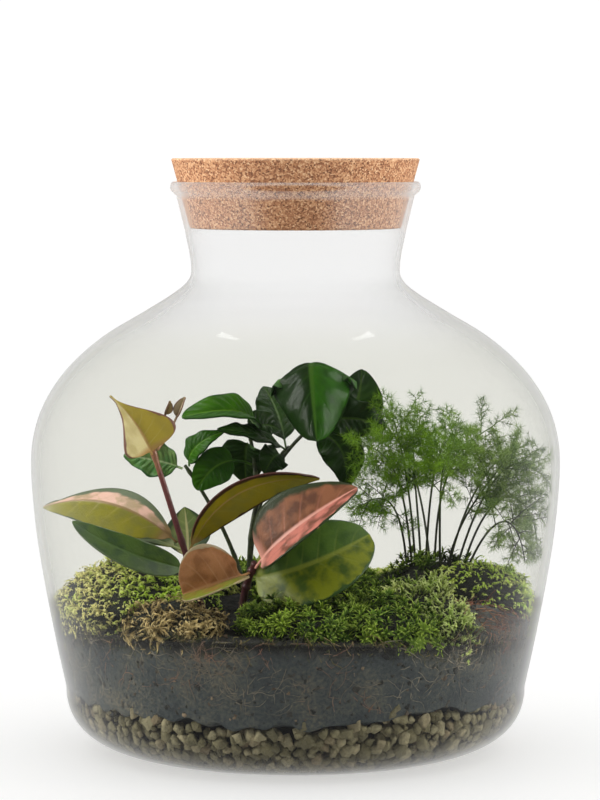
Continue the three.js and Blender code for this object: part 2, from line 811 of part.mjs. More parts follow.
// ---- The asparagus fern: thin stalks that rise bare, then carry sprays of needles ----
const TO_GLASS = 1.5; // room kept between a twig and the glass
const TO_LEAF = 4; // and between a twig and the points of a leaf
const FRONDS = [
  [[54, 14, 76], [52, 6, 107], [47, -6, 126], [35, -24, 113]],
  [[57, 22, 76], [53, 10, 114], [50, -12, 143], [33, -30, 146]],
  [[58, 8, 76], [56, 8, 112], [52, 6, 142], [42, 0, 157]],
  [[61, 26, 76], [60, 26, 110], [55, 30, 138], [58, 36, 154]],
  [[62, 14, 76], [64, 6, 120], [65, 0, 148], [77, -8, 157]],
  [[66, 30, 76], [63, 40, 113], [57, 56, 141], [42, 68, 148]],
  [[67, 20, 76], [67, 16, 125], [72, 12, 155], [90, 6, 160]],
  [[72, 12, 76], [75, 6, 108], [90, 0, 124], [96, -6, 154]],
  [[73, 28, 76], [81, 34, 114], [96, 44, 138], [106, 44, 148]],
  [[75, 6, 76], [84, -8, 118], [99, -18, 146], [112, -18, 134]],
  [[79, 18, 76], [88, 14, 116], [106, 14, 132], [115, 8, 102]],
  [[79, 4, 76], [90, -14, 112], [103, -28, 122], [107, -32, 92]],
  [[69, 2, 76], [68, -12, 119], [67, -34, 149], [76, -50, 154]],
];
const FROND = {
  stalkRadius: 0.6,
  bareShare: 0.48, // the lower part of a stalk has no branches
  branches: 5,
  coreRadius: 0.5, // slim core of a spray
  coreTaper: 0.75, // share of its radius that the core loses towards its tip
  firstRing: 4, // where the first and the last ring of needles stand on a spray
  lastRing: 3, // before its tip
  longest: 22,
  shortest: 13,
  lean: 50, // degrees between a spray and its stalk, and a needle and its spray
  tipLean: 4, // of the spray that goes on from a stalk's end
  rings: 3, // rings of three needles on a spray
  needleFoot: 1.1, // length of a needle's foot along its spray
  needleLength: 6,
  needleRadius: 0.42,
};
const GOLDEN_ANGLE = Math.PI * (3 - Math.sqrt(5));

function leaning(along, turn, lean) {
  const across = Math.abs(along.z) > 0.9 ? V(1, 0, 0) : V(0, 0, 1);
  const first = along.clone().cross(across).normalize();
  const second = along.clone().cross(first);
  const out = first.multiplyScalar(Math.cos(turn)).addScaledVector(second, Math.sin(turn));
  const angle = THREE.MathUtils.degToRad(lean);
  return along.clone().multiplyScalar(Math.cos(angle)).addScaledVector(out, Math.sin(angle)).normalize();
}

// Twigs already placed, so that a new one stays clear of every other frond.
const twigs = [];

function distanceBetween(p, q) {
  const d1 = p.to.clone().sub(p.from);
  const d2 = q.to.clone().sub(q.from);
  const r = p.from.clone().sub(q.from);
  const a = d1.dot(d1);
  const e = d2.dot(d2);
  const f = d2.dot(r);
  const c = d1.dot(r);
  const b = d1.dot(d2);
  const denominator = a * e - b * b;
  let s = denominator > 1e-9 ? THREE.MathUtils.clamp((b * f - c * e) / denominator, 0, 1) : 0;
  const t = THREE.MathUtils.clamp((b * s + f) / e, 0, 1);
  s = THREE.MathUtils.clamp((b * t - c) / a, 0, 1);
  return p.from.clone().addScaledVector(d1, s).distanceTo(q.from.clone().addScaledVector(d2, t));
}

function isFree(twig) {
  for (const end of [twig.to, twig.from]) {
    if (Math.hypot(end.x, end.y) > roomAt(end.z) - TO_GLASS) return false;
  }
  if (Math.min(twig.to.z, twig.from.z) < mossTopAt(twig.to.x, twig.to.y) + MOSS_RELIEF + 1) return false;
  for (const spot of leafRooms) {
    if (distanceBetween(twig, { from: spot, to: spot.clone().add(V(0, 0, 0.01)) }) < TO_LEAF) return false;
  }
  const clearOf = (other) => distanceBetween(twig, other) > twig.radius + other.radius + GAP;
  return twigs.every((other) => other.frond === twig.frond || clearOf(other));
}

function frondStalk(route, frond) {
  const curve = bezier(route);
  const points = curve.getPoints(2 * STALK_STEPS);
  for (let i = 1; i < points.length; i++) {
    twigs.push({ from: points[i - 1], to: points[i], radius: FROND.stalkRadius, frond });
  }
  return curve;
}

// A spray: a slim three-sided core that tapers to a point, with rings of needles pulled out of its facets.
function sprayBody(from, direction, length, frond) {
  const across = leaning(direction, 0, 90);
  const second = direction.clone().cross(across);
  const points = [];
  const ring = (reach) => {
    const radius = FROND.coreRadius * (1 - (FROND.coreTaper * reach) / length);
    for (let i = 0; i < 3; i++) {
      const angle = (2 * Math.PI * i) / 3;
      const arm = across.clone().multiplyScalar(Math.cos(angle)).addScaledVector(second, Math.sin(angle));
      points.push(from.clone().addScaledVector(direction, reach).addScaledVector(arm, radius));
    }
  };
  ring(0);
  for (let n = 0; n < FROND.rings; n++) {
    const span = length - FROND.firstRing - FROND.lastRing;
    const reach = FROND.firstRing + (span * n) / (FROND.rings - 1);
    ring(reach);
    ring(reach + FROND.needleFoot);
  }
  points.push(from.clone().addScaledVector(direction, length));
  const rings = 1 + 2 * FROND.rings;
  const tip = points.length - 1;
  const triangles = [[0, 2, 1]];
  for (let r = 0; r < rings - 1; r++) {
    for (let i = 0; i < 3; i++) {
      const next = (i + 1) % 3;
      const corners = [3 * r + i, 3 * r + next, 3 * r + 3 + next, 3 * r + 3 + i];
      const apex = r % 2 ? needleTip(corners.map((c) => points[c]), direction, frond) : null;
      triangles.push(...facet(corners, apex, points));
    }
  }
  const end = 3 * (rings - 1);
  for (let i = 0; i < 3; i++) triangles.push([end + i, end + ((i + 1) % 3), tip]);
  return bodyOf(points, triangles);
}

// Where a needle ends, or null where another frond, a leaf, the moss or the glass is in its way.
function needleTip(corners, direction, frond) {
  const foot = corners.reduce((sum, c) => sum.add(c), V(0, 0, 0)).multiplyScalar(1 / corners.length);
  const [a, b, c] = corners;
  const out = b.clone().sub(a).cross(c.clone().sub(a)).normalize();
  const lean = THREE.MathUtils.degToRad(FROND.lean);
  const along = direction.clone().multiplyScalar(Math.cos(lean)).addScaledVector(out, Math.sin(lean));
  const to = foot.clone().addScaledVector(along, FROND.needleLength);
  const needle = { from: foot, to, radius: FROND.needleRadius, frond };
  if (!isFree(needle)) return null;
  twigs.push(needle);
  return needle.to;
}

function frondParts(curve, frond) {
  const parts = [rod(curve, FROND.stalkRadius, STALK_SIDES, STALK_STEPS)];
  for (let k = 0; k <= FROND.branches; k++) {
    const share = THREE.MathUtils.lerp(FROND.bareShare, 0.99, k / FROND.branches);
    const from = curve.getPoint(share);
    const isLast = k === FROND.branches;
    const length = THREE.MathUtils.lerp(FROND.longest, FROND.shortest, k / FROND.branches);
    const lean = isLast ? FROND.tipLean : FROND.lean;
    const direction = leaning(curve.getTangent(share), k * GOLDEN_ANGLE + frond, lean);
    const to = from.clone().addScaledVector(direction, length);
    const spray = { from, to, radius: FROND.coreRadius, frond };
    if (!isFree(spray)) continue;
    twigs.push(spray);
    parts.push(sprayBody(from, direction, length, frond));
  }
  return parts;
}

// ---- Putting it together ----
function makePeperomia() {
  const plant = new THREE.Group();
  terrarium.add(plant);
  const stems = {};
  for (const { name, radius, route } of PEPEROMIA_STEMS) {
    stems[name] = { curve: bezier(route), radius };
    place(name, rod(stems[name].curve, radius, 8, STEM_STEPS), "red_stem", plant);
  }
  for (const leaf of PEPEROMIA_LEAVES) {
    place(leaf.name, leafBody(leaf, stems[leaf.stem]), leaf.look ?? "peperomia_leaf", plant);
  }
}

function makeCoffee() {
  const plant = new THREE.Group();
  terrarium.add(plant);
  const { radius, routes } = COFFEE_STEM;
  const rods = Object.values(routes).map((route) => rod(bezier(route), radius, 5, STEM_STEPS));
  place("coffee_stems", fused(rods), "coffee_stem", plant);
  for (const leaf of COFFEE_LEAVES) {
    const stem = { curve: bezier(routes[leaf.stem]), radius };
    place(leaf.name, leafBody({ ...COFFEE_BLADE, ...leaf }, stem), "coffee_leaf", plant);
  }
}

function makeFern() {
  const plant = new THREE.Group();
  terrarium.add(plant);
  const stalks = FRONDS.map(frondStalk);
  stalks.forEach((curve, frond) => {
    const name = "asparagus_frond_" + String(frond + 1).padStart(2, "0");
    place(name, fused(frondParts(curve, frond)), "fern", plant);
  });
}

function makeGround() {
  const ground = new THREE.Group();
  terrarium.add(ground);
  const soilHoles = PEPEROMIA_STEMS.map((stem) => hole(stem.route, stem.radius + 3 * GAP));
  soilHoles.push(hole(COFFEE_STEM.routes.middle, COFFEE_STEM.radius + 5 * GAP));
  place("soil_bed", drilled(soilBody(), soilHoles), "soil", ground);
  const frondHoles = FRONDS.map((route) => hole(route, FROND.stalkRadius + 3 * GAP));
  for (const cushion of CUSHIONS) {
    const holes = cushion.fern ? frondHoles : [];
    place(cushion.name, drilled(cushionBody(cushion), holes), cushion.look, ground);
  }
}

makeJar();
makeCork();
makeGravel();
makeGround();
makePeperomia();
makeCoffee();
makeFern();

export default terrarium;
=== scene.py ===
# %% [markdown]
# # A closed glass terrarium
# A round-shouldered bottle jar with a cork stopper stands on a pale table. Inside it lie a layer of
# gravel, a layer of potting soil and a carpet of moss, and three plants grow in them: a red-stemmed
# peperomia at the left, a young coffee plant behind it and an asparagus fern at the right.
#
# The plain solids of every piece come from the frame. Each one is replaced here by a finer piece that
# keeps its place and form, so this lesson repeats the few formulas and points that shape them.

import math

import bpy
import numpy as np
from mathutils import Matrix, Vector, noise


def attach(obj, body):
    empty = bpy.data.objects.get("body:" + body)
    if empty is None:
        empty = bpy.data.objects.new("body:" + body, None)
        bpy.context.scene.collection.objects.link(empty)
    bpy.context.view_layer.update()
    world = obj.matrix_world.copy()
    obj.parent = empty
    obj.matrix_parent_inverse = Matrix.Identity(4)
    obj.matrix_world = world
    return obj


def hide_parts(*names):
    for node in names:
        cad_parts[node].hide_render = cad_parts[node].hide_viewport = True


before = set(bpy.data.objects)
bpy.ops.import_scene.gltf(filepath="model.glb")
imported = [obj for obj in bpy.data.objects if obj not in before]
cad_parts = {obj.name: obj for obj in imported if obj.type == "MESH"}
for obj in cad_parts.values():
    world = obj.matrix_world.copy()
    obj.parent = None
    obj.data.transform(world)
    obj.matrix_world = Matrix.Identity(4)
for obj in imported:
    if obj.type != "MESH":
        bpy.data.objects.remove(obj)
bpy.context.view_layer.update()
print("nodes in the frame:", len(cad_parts))

# %% [markdown]
# ## Working habits
# The solids were drawn in millimetres and a Blender scene is in metres, so the numbers below stay in
# millimetres and `MM` turns them into metres where a mesh is made. Colours are written as sRGB hex
# values, as a colour picker gives them, and one function turns them linear for the shaders. Another
# small function adds a shader node with its settings and links, which keeps each material readable.

# %% Colours, nodes and meshes
MM = 0.001


def hex_colour(code):
    """Linear RGBA of an sRGB hex code."""
    values = [int(code[i : i + 2], 16) / 255 for i in (1, 3, 5)]
    linear = [v / 12.92 if v <= 0.04045 else ((v + 0.055) / 1.055) ** 2.4 for v in values]
    return (*linear, 1.0)


def add(tree, kind, inputs=None, stops=None, **settings):
    """Adds a shader node. An input is a value, a hex colour, the socket that feeds it, or a node that does
    so by its first free output. The stops belong to a ramp."""
    made = tree.nodes.new("ShaderNode" + kind)
    for name, value in settings.items():
        setattr(made, name, value)
    for name, value in (inputs or {}).items():
        if isinstance(value, str):
            value = hex_colour(value)
        if isinstance(value, bpy.types.Node):
            value = next(socket for socket in value.outputs if socket.enabled)
        if isinstance(value, bpy.types.NodeSocket):
            tree.links.new(value, made.inputs[name])
        else:
            made.inputs[name].default_value = value
    if stops:
        elements = made.color_ramp.elements
        while len(elements) < len(stops):
            elements.new(0.5)
        for element, (place, colour) in zip(elements, stops):
            element.position = place
            element.color = hex_colour(colour)
    return made


def new_material(name):
    """An empty material with its output, and the node tree to fill."""
    material = bpy.data.materials.new(name)
    material.use_nodes = True
    tree = material.node_tree
    tree.nodes.clear()
    output = tree.nodes.new("ShaderNodeOutputMaterial")
    return material, tree, output


def rays_of(tree):
    """The kind of ray that looks, and a node that says whether it comes by way of a mirror."""
    ray = add(tree, "LightPath")
    kinds = {0: ray.outputs["Is Glossy Ray"], 1: ray.outputs["Is Reflection Ray"]}
    return ray, add(tree, "Math", kinds, operation="MULTIPLY")


def span(value, low, high, first=0.0, last=1.0):
    """The inputs of a MapRange node that takes a value from one span to another."""
    return {"Value": value, "From Min": low, "From Max": high, "To Min": first, "To Max": last}


def coat(tree, output, colour, roughness, bump=None, specular=0.5):
    """Ends a material in one plain surface, bumped where it has a bump."""
    inputs = {"Base Color": colour, "Roughness": roughness, "Specular IOR Level": specular}
    surface = add(tree, "BsdfPrincipled", {**inputs, "Normal": bump} if bump else inputs)
    tree.links.new(surface.outputs[0], output.inputs["Surface"])


def tinted_material(name, stops, roughness):
    """A material whose colour lies on a ramp at each copy's own tint."""
    material, tree, output = new_material(name)
    shade = add(tree, "Attribute", attribute_name="tint")
    coat(tree, output, add(tree, "ValToRGB", {"Fac": shade.outputs["Fac"]}, stops=stops), roughness)
    return material


def mottled_material(name, scale, detail, stops, roughness, bump=None):
    """A material whose colour follows a noise along a ramp. A bump is its strength and its depth."""
    material, tree, output = new_material(name)
    place = add(tree, "TexCoord")
    mottle = add(tree, "TexNoise", {"Vector": place.outputs["Object"], "Scale": scale, "Detail": detail})
    colour = add(tree, "ValToRGB", {"Fac": mottle}, stops=stops)
    if bump:
        bump = add(tree, "Bump", {"Strength": bump[0], "Distance": bump[1], "Height": mottle})
    coat(tree, output, colour, roughness, bump)
    return material


def deselect():
    for each in bpy.context.selected_objects:
        each.select_set(False)


def finish_piece(piece, slot, *nodes):
    """The piece rides on the jar's body and stands for its solids, which are hidden. The slot is not used.
    """
    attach(piece, "root")
    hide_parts(*nodes)
    print(piece.name, "has", len(piece.data.polygons), "faces")


# %% [markdown]
# ## Camera, table and light
# The photograph was taken with a long lens a little above the jar's shoulder, so the jar's sides look
# almost parallel and the foot shows as a shallow curve. The jar stands on a white light table, which
# glows faintly, in a white room that is darker on the camera's side. Two big softboxes light it from
# the left and the right and one from above, and two small boxes behind it draw the two lit spots on
# the jar's shoulder. A white room would also mirror itself in the glass and veil the dark soil, so
# what gloss mirrors of the room and the table is dimmed.

# %% Camera
SENSOR_WIDTH = 36
IMAGE_LONG_SIDE = 800
FOCAL_PIXELS = 3209.75
CAMERA_PLACE = (0.002135, -1.51808, 0.28369)
CAMERA_TILT = 4.467  # degrees below the horizon

camera_data = bpy.data.cameras.new("camera")
camera_data.sensor_width = SENSOR_WIDTH
camera_data.lens = SENSOR_WIDTH * FOCAL_PIXELS / IMAGE_LONG_SIDE
camera = bpy.data.objects.new("camera", camera_data)
camera.location = CAMERA_PLACE
camera.rotation_euler = (math.radians(90 - CAMERA_TILT), 0, 0)
bpy.context.scene.collection.objects.link(camera)
bpy.context.scene.camera = camera
bpy.context.scene.view_settings.view_transform = "Standard"
bpy.context.scene.cycles.transparent_max_bounces = 24
print("lens", round(camera_data.lens, 1), "mm")

# %% Light table
TABLE_GLOW = 0.5
MIRRORED_TABLE = 0.3

deselect()
bpy.ops.mesh.primitive_plane_add(size=80, location=(0, 0, 0))
table = bpy.context.object
table.name = "table"
table_top, tree, output = new_material("white_acrylic_light_table")
grain = add(tree, "TexNoise", {"Scale": 300.0, "Detail": 2.0})
table_bump = add(tree, "Bump", {"Strength": 0.02, "Height": grain})
surface = add(
    tree,
    "BsdfPrincipled",
    {
        "Base Color": "#e2e2e1",
        "Roughness": 0.55,
        "Specular IOR Level": 0.2,
        "Emission Color": "#ffffff",
        "Emission Strength": TABLE_GLOW,
        "Normal": table_bump,
    },
)
_, mirrored = rays_of(tree)
dim_glow = add(tree, "Emission", {"Color": "#ffffff", "Strength": MIRRORED_TABLE})
table_face = add(tree, "MixShader", {0: mirrored, 1: surface, 2: dim_glow})
tree.links.new(table_face.outputs[0], output.inputs["Surface"])
table.data.materials.append(table_top)

# %% White room
ROOM_SEEN = 1.04
ROOM_ON_SURFACES = 0.8
ROOM_FROM_CAMERA = 0.16  # the camera's side of the room is darker
ROOM_IN_GLOSS = 0.35

world = bpy.data.worlds.new("white_studio")
bpy.context.scene.world = world
world.use_nodes = True
tree = world.node_tree
tree.nodes.clear()
output = tree.nodes.new("ShaderNodeOutputWorld")
ray, mirrored = rays_of(tree)
way = add(tree, "TexCoord")
turned = add(tree, "SeparateXYZ", {0: way.outputs["Generated"]})
on_surfaces = add(
    tree, "MapRange", span(turned.outputs["Y"], -0.9, -0.1, ROOM_FROM_CAMERA, ROOM_ON_SURFACES)
)
strength = add(tree, "Mix", {0: ray.outputs["Is Diffuse Ray"], 2: ROOM_SEEN, 3: on_surfaces})
strength = add(tree, "Mix", {0: mirrored, 2: strength, 3: ROOM_IN_GLOSS})
room = add(tree, "Background", {"Color": "#ffffff", "Strength": strength})
tree.links.new(room.outputs[0], output.inputs["Surface"])

# %% Softboxes
SOFTBOXES = [
    # name, place in metres, aimed at, width, height, watts, seen in the glass
    ("left_softbox", (-1.5, -0.3, 0.9), (0, 0, 0.12), 1.0, 1.0, 34, False),
    ("right_softbox", (1.5, -0.3, 0.8), (0, 0, 0.12), 1.0, 1.0, 25, False),
    ("top_softbox", (0, 0.25, 1.6), (0, 0, 0.12), 1.0, 1.0, 12, False),
    ("window_left", (-0.34, 0.68, 1.5), (0, 0, 0.12), 0.1, 0.2, 0.5, True),
    ("window_right", (0.34, 0.68, 1.5), (0, 0, 0.12), 0.1, 0.2, 0.5, True),
]
# no lamp lights the table, whose light is the room's, and only the small boxes are mirrored in the glass
lit_by_small_boxes = bpy.data.collections.new("lit_by_strips")
lit_by_softboxes = bpy.data.collections.new("lit_by_softboxes")


def shade_from(lamps, thing):
    """Keeps a thing out of the light of a group of lamps."""
    lamps.objects.link(thing)
    lamps.collection_objects[-1].light_linking.link_state = "EXCLUDE"


shade_from(lit_by_small_boxes, table)
shade_from(lit_by_softboxes, table)
for name, place, aim, width, height, watts, seen in SOFTBOXES:
    lamp = bpy.data.lights.new(name, "AREA")
    lamp.shape = "RECTANGLE"
    lamp.size = width
    lamp.size_y = height
    lamp.energy = watts
    box = bpy.data.objects.new(name, lamp)
    box.location = place
    box.rotation_euler = (Vector(aim) - Vector(place)).to_track_quat("-Z", "Y").to_euler()
    bpy.context.scene.collection.objects.link(box)
    box.light_linking.receiver_collection = lit_by_small_boxes if seen else lit_by_softboxes
print("softboxes:", len(SOFTBOXES))

# %% [markdown]
# ## The jar's outline
# The glass is one blown wall: a flat foot, a rounded corner, a side that leans out to the shoulder,
# and a neck that opens to a beaded rim. Its outside runs through the same key points as the solid, on
# the same kind of spline, only in finer steps. The inside follows one wall thickness further in.

# %% Outline of the jar
GAP = 0.3
JAR_SIDES = 32
FOOT_RADIUS = 70
CORNER_POWER = 2.3
FLOOR_THICKNESS = 5
WALL_THICKNESS = 2.5
NECK_WALL_THICKNESS = 1.9
WALL_OUTLINE = np.array(
    [(109.3, 30), (113.6, 50), (118.6, 76), (123, 104), (125.3, 134)]
    + [(123.4, 152), (117.2, 167.5), (106.5, 182), (91, 195.5), (72, 207)]
    + [(58.3, 215.5), (50.8, 222), (49.4, 229), (51.8, 243), (56.3, 262)]
)
WIDEST = WALL_OUTLINE[:, 0].max()
RIM = {"radius": 57.6, "height": 266, "half_width": 1.6, "half_height": 2.5}
SHOULDER_HEIGHT, NECK_HEIGHT = 195, 225  # the wall thins between them


def wall_point(share):
    """Catmull-Rom spline through the outline's points: a point and its direction."""
    spans = len(WALL_OUTLINE) - 1
    place = share * spans
    i = min(int(place), spans - 1)
    t = place - i
    p1, p2 = WALL_OUTLINE[i], WALL_OUTLINE[i + 1]
    p0 = WALL_OUTLINE[max(i - 1, 0)]
    p3 = WALL_OUTLINE[min(i + 2, spans)]
    v0, v1 = (p2 - p0) / 2, (p3 - p1) / 2
    bend = 2 * p1 - 2 * p2 + v0 + v1
    twist = -3 * p1 + 3 * p2 - 2 * v0 - v1
    point = bend * t**3 + twist * t**2 + v0 * t + p1
    along = 3 * bend * t**2 + 2 * twist * t + v0
    return point, along / np.linalg.norm(along)


def smooth_step(value, low, high):
    t = min(max((value - low) / (high - low), 0), 1)
    return t * t * (3 - 2 * t)


def wall_inside(share):
    point, along = wall_point(share)
    thinning = smooth_step(point[1], SHOULDER_HEIGHT, NECK_HEIGHT)
    thickness = WALL_THICKNESS + (NECK_WALL_THICKNESS - WALL_THICKNESS) * thinning
    return np.array((point[0] - along[1] * thickness, point[1] + along[0] * thickness))


def foot_curve(flat, side, low, high, steps):
    """Rounded corner between the foot and the wall, without its last point."""
    points = []
    for i in range(steps):
        angle = math.pi / 2 * i / steps
        out = math.sin(angle) ** (2 / CORNER_POWER)
        down = math.cos(angle) ** (2 / CORNER_POWER)
        points.append((flat + (side - flat) * out, low + (high - low) * (1 - down)))
    return points


def jar_outlines(corner_steps, wall_steps):
    start = wall_inside(0)
    outside = foot_curve(FOOT_RADIUS, WALL_OUTLINE[0, 0], 0, WALL_OUTLINE[0, 1], corner_steps)
    inside = foot_curve(FOOT_RADIUS - WALL_THICKNESS, start[0], FLOOR_THICKNESS, start[1], corner_steps)
    for i in range(wall_steps + 1):
        radius, height = wall_point(i / wall_steps)[0]
        outside.append((min(radius, WIDEST), height))
        inside.append(tuple(wall_inside(i / wall_steps)))
    return outside, inside


def rim_arc(steps):
    """The bead, from its foot outside to its foot inside."""
    arc = []
    for i in range(steps + 1):
        angle = math.radians(-55 + 250 * i / steps)
        out, up = RIM["half_width"] * math.cos(angle), RIM["half_height"] * math.sin(angle)
        arc.append((RIM["radius"] + out, RIM["height"] + up))
    return arc


COARSE_INSIDE = np.array(jar_outlines(4, len(WALL_OUTLINE) - 1)[1])


def room_at(height):
    """Radius that is free for the filling at a height, in the solid's faceted jar."""
    radius = np.interp(height, COARSE_INSIDE[:, 1], COARSE_INSIDE[:, 0])
    return radius * math.cos(math.pi / JAR_SIDES) - GAP


print("the wall is", round(float(WIDEST) * 2, 1), "mm across at its widest")

# %% [markdown]
# ## Turning the jar and the cork
# A glassblower turns the jar, and so does this cell: a circle is added at the foot and extruded up
# the outline ring by ring, each ring scaled and lifted to its place. Over the rim it goes back down
# inside, so that the wall has a real thickness, and both ends are closed over the axis.

# %% Turn a body from a ring
JAR_SEGMENTS = 144
CORNER_RINGS, WALL_RINGS, BEAD_RINGS = 14, 84, 14


def turned_by_hand(name, outline, segments):
    """A circle extruded from ring to ring along an outline of (radius, height), closed at both ends."""
    deselect()
    radius, height = outline[0]
    bpy.ops.mesh.primitive_circle_add(
        vertices=segments, radius=radius * MM, fill_type="TRIFAN", location=(0, 0, height * MM)
    )
    made = bpy.context.object
    made.name = made.data.name = name
    bpy.ops.object.transform_apply(location=True)
    bpy.ops.object.mode_set(mode="EDIT")
    bpy.ops.mesh.select_mode(type="EDGE")
    bpy.ops.mesh.select_all(action="SELECT")
    bpy.ops.mesh.region_to_loop()
    for next_radius, next_height in outline[1:]:
        lift = (0, 0, (next_height - height) * MM)
        bpy.ops.mesh.extrude_edges_move(TRANSFORM_OT_translate={"value": lift})
        share = next_radius / radius
        bpy.ops.transform.resize(value=(share, share, 1), center_override=(0, 0, next_height * MM))
        radius, height = next_radius, next_height
    bpy.ops.mesh.edge_face_add()
    bpy.ops.mesh.poke()
    bpy.ops.mesh.select_all(action="SELECT")
    bpy.ops.mesh.normals_make_consistent(inside=False)
    bpy.ops.object.mode_set(mode="OBJECT")
    return made


jar_outside, jar_inside = jar_outlines(CORNER_RINGS, WALL_RINGS)
jar_profile = jar_outside + rim_arc(BEAD_RINGS) + jar_inside[::-1]
jar = turned_by_hand("glass_jar_blown", jar_profile, JAR_SEGMENTS)
jar.data.shade_smooth()
print("rings in the jar:", len(jar_profile))

# %% [markdown]
# ### Clear glass
# Soda-lime glass, blown and fire-polished. It mirrors little where it is seen face on and nearly all
# where it is seen edge on, so a pale white veil is painted along its outline as that reflection, and it
# has a faint grey-green tint that is deeper in the body than in the neck. A thin wall with air on both
# sides hardly moves what is behind it, so light goes straight through there. Where wet soil touches
# the wall there is no air behind the glass: light is bent once and not back, and the layers seem to
# reach the jar's very outline. The mesh carries both places as attributes. Light for the plants passes
# straight in, because a path tracer finds its way through bent surfaces badly.

# %% Heights of the layers
def hill(x, y, cx, cy, rx, ry):
    return np.exp(-(((x - cx) / rx) ** 2) - ((y - cy) / ry) ** 2)


def gravel_top_at(x, y):
    return 28 + 4 * hill(x, y, 55, -85, 30, 30) - 5 * (x / 110) ** 2


def soil_top_at(x, y):
    return 66.5 - 9 * np.abs(x / 110) ** 2.5 - 2.5 * (x / 110) + 1.5 * np.cos(y / 40)


def moss_top_at(x, y):
    mounds = 13 * hill(x, y, -80, -12, 34, 46) + 12 * hill(x, y, 80, -4, 40, 44)
    front = 5 * hill(x, y, 10, -36, 40, 25) - 0.09 * np.maximum(0, -46 - y) - 0.06 * np.maximum(0, y - 20)
    return 78 + mounds + front - 5 * (np.hypot(x, y) / 114) ** 9


# %% Where the filling touches the glass
CONTACT_FADE = 2.5
MOSS_IN_CONTACT = 0.7  # share of the moss's height that lies against the glass
BEAD_FOOT = 261
FLOOR_ZONE = 30  # below this a face that looks up is the jar's floor


def bending_at(point, normal):
    """1 on the outside of the glass where wet filling touches it."""
    x, y, z = point
    on_floor = normal[2] > 0.5 and z < FLOOR_ZONE
    faces_in = on_floor or normal[0] * x + normal[1] * y < -0.1 * math.hypot(x, y) or z > BEAD_FOOT
    soil_line, moss_line = soil_top_at(x, y), moss_top_at(x, y)
    line = soil_line + MOSS_IN_CONTACT * (moss_line - soil_line)
    return 0.0 if faces_in else 1 - smooth_step(z, line - CONTACT_FADE, line + CONTACT_FADE)


def faces_in_at(point, normal):
    """1 on the inside of the wall, which only lets light through."""
    x, y, z = point
    on_floor = normal[2] > 0.5 and z < FLOOR_ZONE
    return float(z < BEAD_FOOT and (on_floor or normal[0] * x + normal[1] * y < 0))


for key, rule in (("bending", bending_at), ("inside", faces_in_at)):
    values = [rule(tuple(v.co / MM), tuple(v.normal)) for v in jar.data.vertices]
    jar.data.attributes.new(key, "FLOAT", "POINT").data.foreach_set("value", values)
    print(key, "glass points:", round(float(np.mean(values)), 2))

# %% Glass
CLEAR_NECK = "#fbfbfb"
TINTED_BODY = "#f7f7f5"
GLASS_IOR = 1.4  # soda-lime glass is 1.5, whose mirroring would hide the dark soil and moss
# painted reflection: a white diffuse surface is mixed into the glass where it is seen edge on, and in a
# band of the neck over the cork
EDGE_PAINTED_REFLECTION = 0.8
PAINTED_REFLECTION_SHARPNESS = 4.0  # lower spreads the veil of the edges further in
PAINTED_REFLECTION_OVER_CORK = 0.13  # over the cork the neck mirrors the bright sides of the room
MIRROR_FACE_ON = 0.009
MIRROR_EDGE_ON = 0.4

clear_glass, tree, output = new_material("blown_soda_lime_glass")
place = add(tree, "TexCoord")
height = add(tree, "SeparateXYZ", {0: place.outputs["Object"]})
to_neck = add(
    tree,
    "MapRange",
    span(height.outputs["Z"], 186 * MM, 210 * MM),
    interpolation_type="SMOOTHSTEP",
)
tint = add(tree, "Mix", {"Factor": to_neck, 6: TINTED_BODY, 7: CLEAR_NECK}, data_type="RGBA")
bends_light = add(tree, "BsdfGlass", {"Color": tint, "Roughness": 0.0, "IOR": GLASS_IOR})
lets_light_in = add(tree, "BsdfTransparent", {"Color": tint})
bending = add(tree, "Attribute", attribute_name="bending")
inside = add(tree, "Attribute", attribute_name="inside")
through = add(tree, "MixShader", {0: bending.outputs["Fac"], 1: lets_light_in, 2: bends_light})
facing = add(tree, "LayerWeight", {"Blend": 0.5})
edge_on = add(tree, "Math", {0: facing.outputs["Facing"], 1: 5.0}, operation="POWER")
shine = add(tree, "Math", {0: edge_on, 1: MIRROR_EDGE_ON, 2: MIRROR_FACE_ON}, operation="MULTIPLY_ADD")
mirror = add(tree, "BsdfGlossy", {"Color": "#ffffff", "Roughness": 0.03})
shiny = add(tree, "MixShader", {0: shine, 1: through, 2: mirror})
# painted reflection: the share of white diffuse grows as the glass turns edge on, and over the cork
grazing = add(tree, "Math", {0: facing.outputs["Facing"], 1: PAINTED_REFLECTION_SHARPNESS}, operation="POWER")
over_cork = add(tree, "MapRange", span(height.outputs["Z"], 243 * MM, 248 * MM, 0.0, PAINTED_REFLECTION_OVER_CORK))
turned_aside = add(
    tree,
    "MapRange",
    span(facing.outputs["Facing"], 0.04, 0.14, 0.0, over_cork),
    interpolation_type="SMOOTHSTEP",
)
painted_reflection_share = add(tree, "Math", {0: grazing, 1: EDGE_PAINTED_REFLECTION, 2: turned_aside}, operation="MULTIPLY_ADD")
painted_reflection = add(tree, "BsdfDiffuse", {"Color": "#ffffff"})
outer_wall = add(tree, "MixShader", {0: painted_reflection_share, 1: shiny, 2: painted_reflection})
wall = add(tree, "MixShader", {0: inside.outputs["Fac"], 1: outer_wall, 2: lets_light_in})
ray = add(tree, "LightPath")
soft_light = add(
    tree, "Math", {0: ray.outputs["Is Shadow Ray"], 1: ray.outputs["Is Diffuse Ray"]}, operation="MAXIMUM"
)
glass_mix = add(tree, "MixShader", {0: soft_light, 1: wall, 2: lets_light_in})
tree.links.new(glass_mix.outputs[0], output.inputs["Surface"])
jar.data.materials.append(clear_glass)
shade_from(lit_by_softboxes, jar)
finish_piece(jar, "glass", "glass_jar")

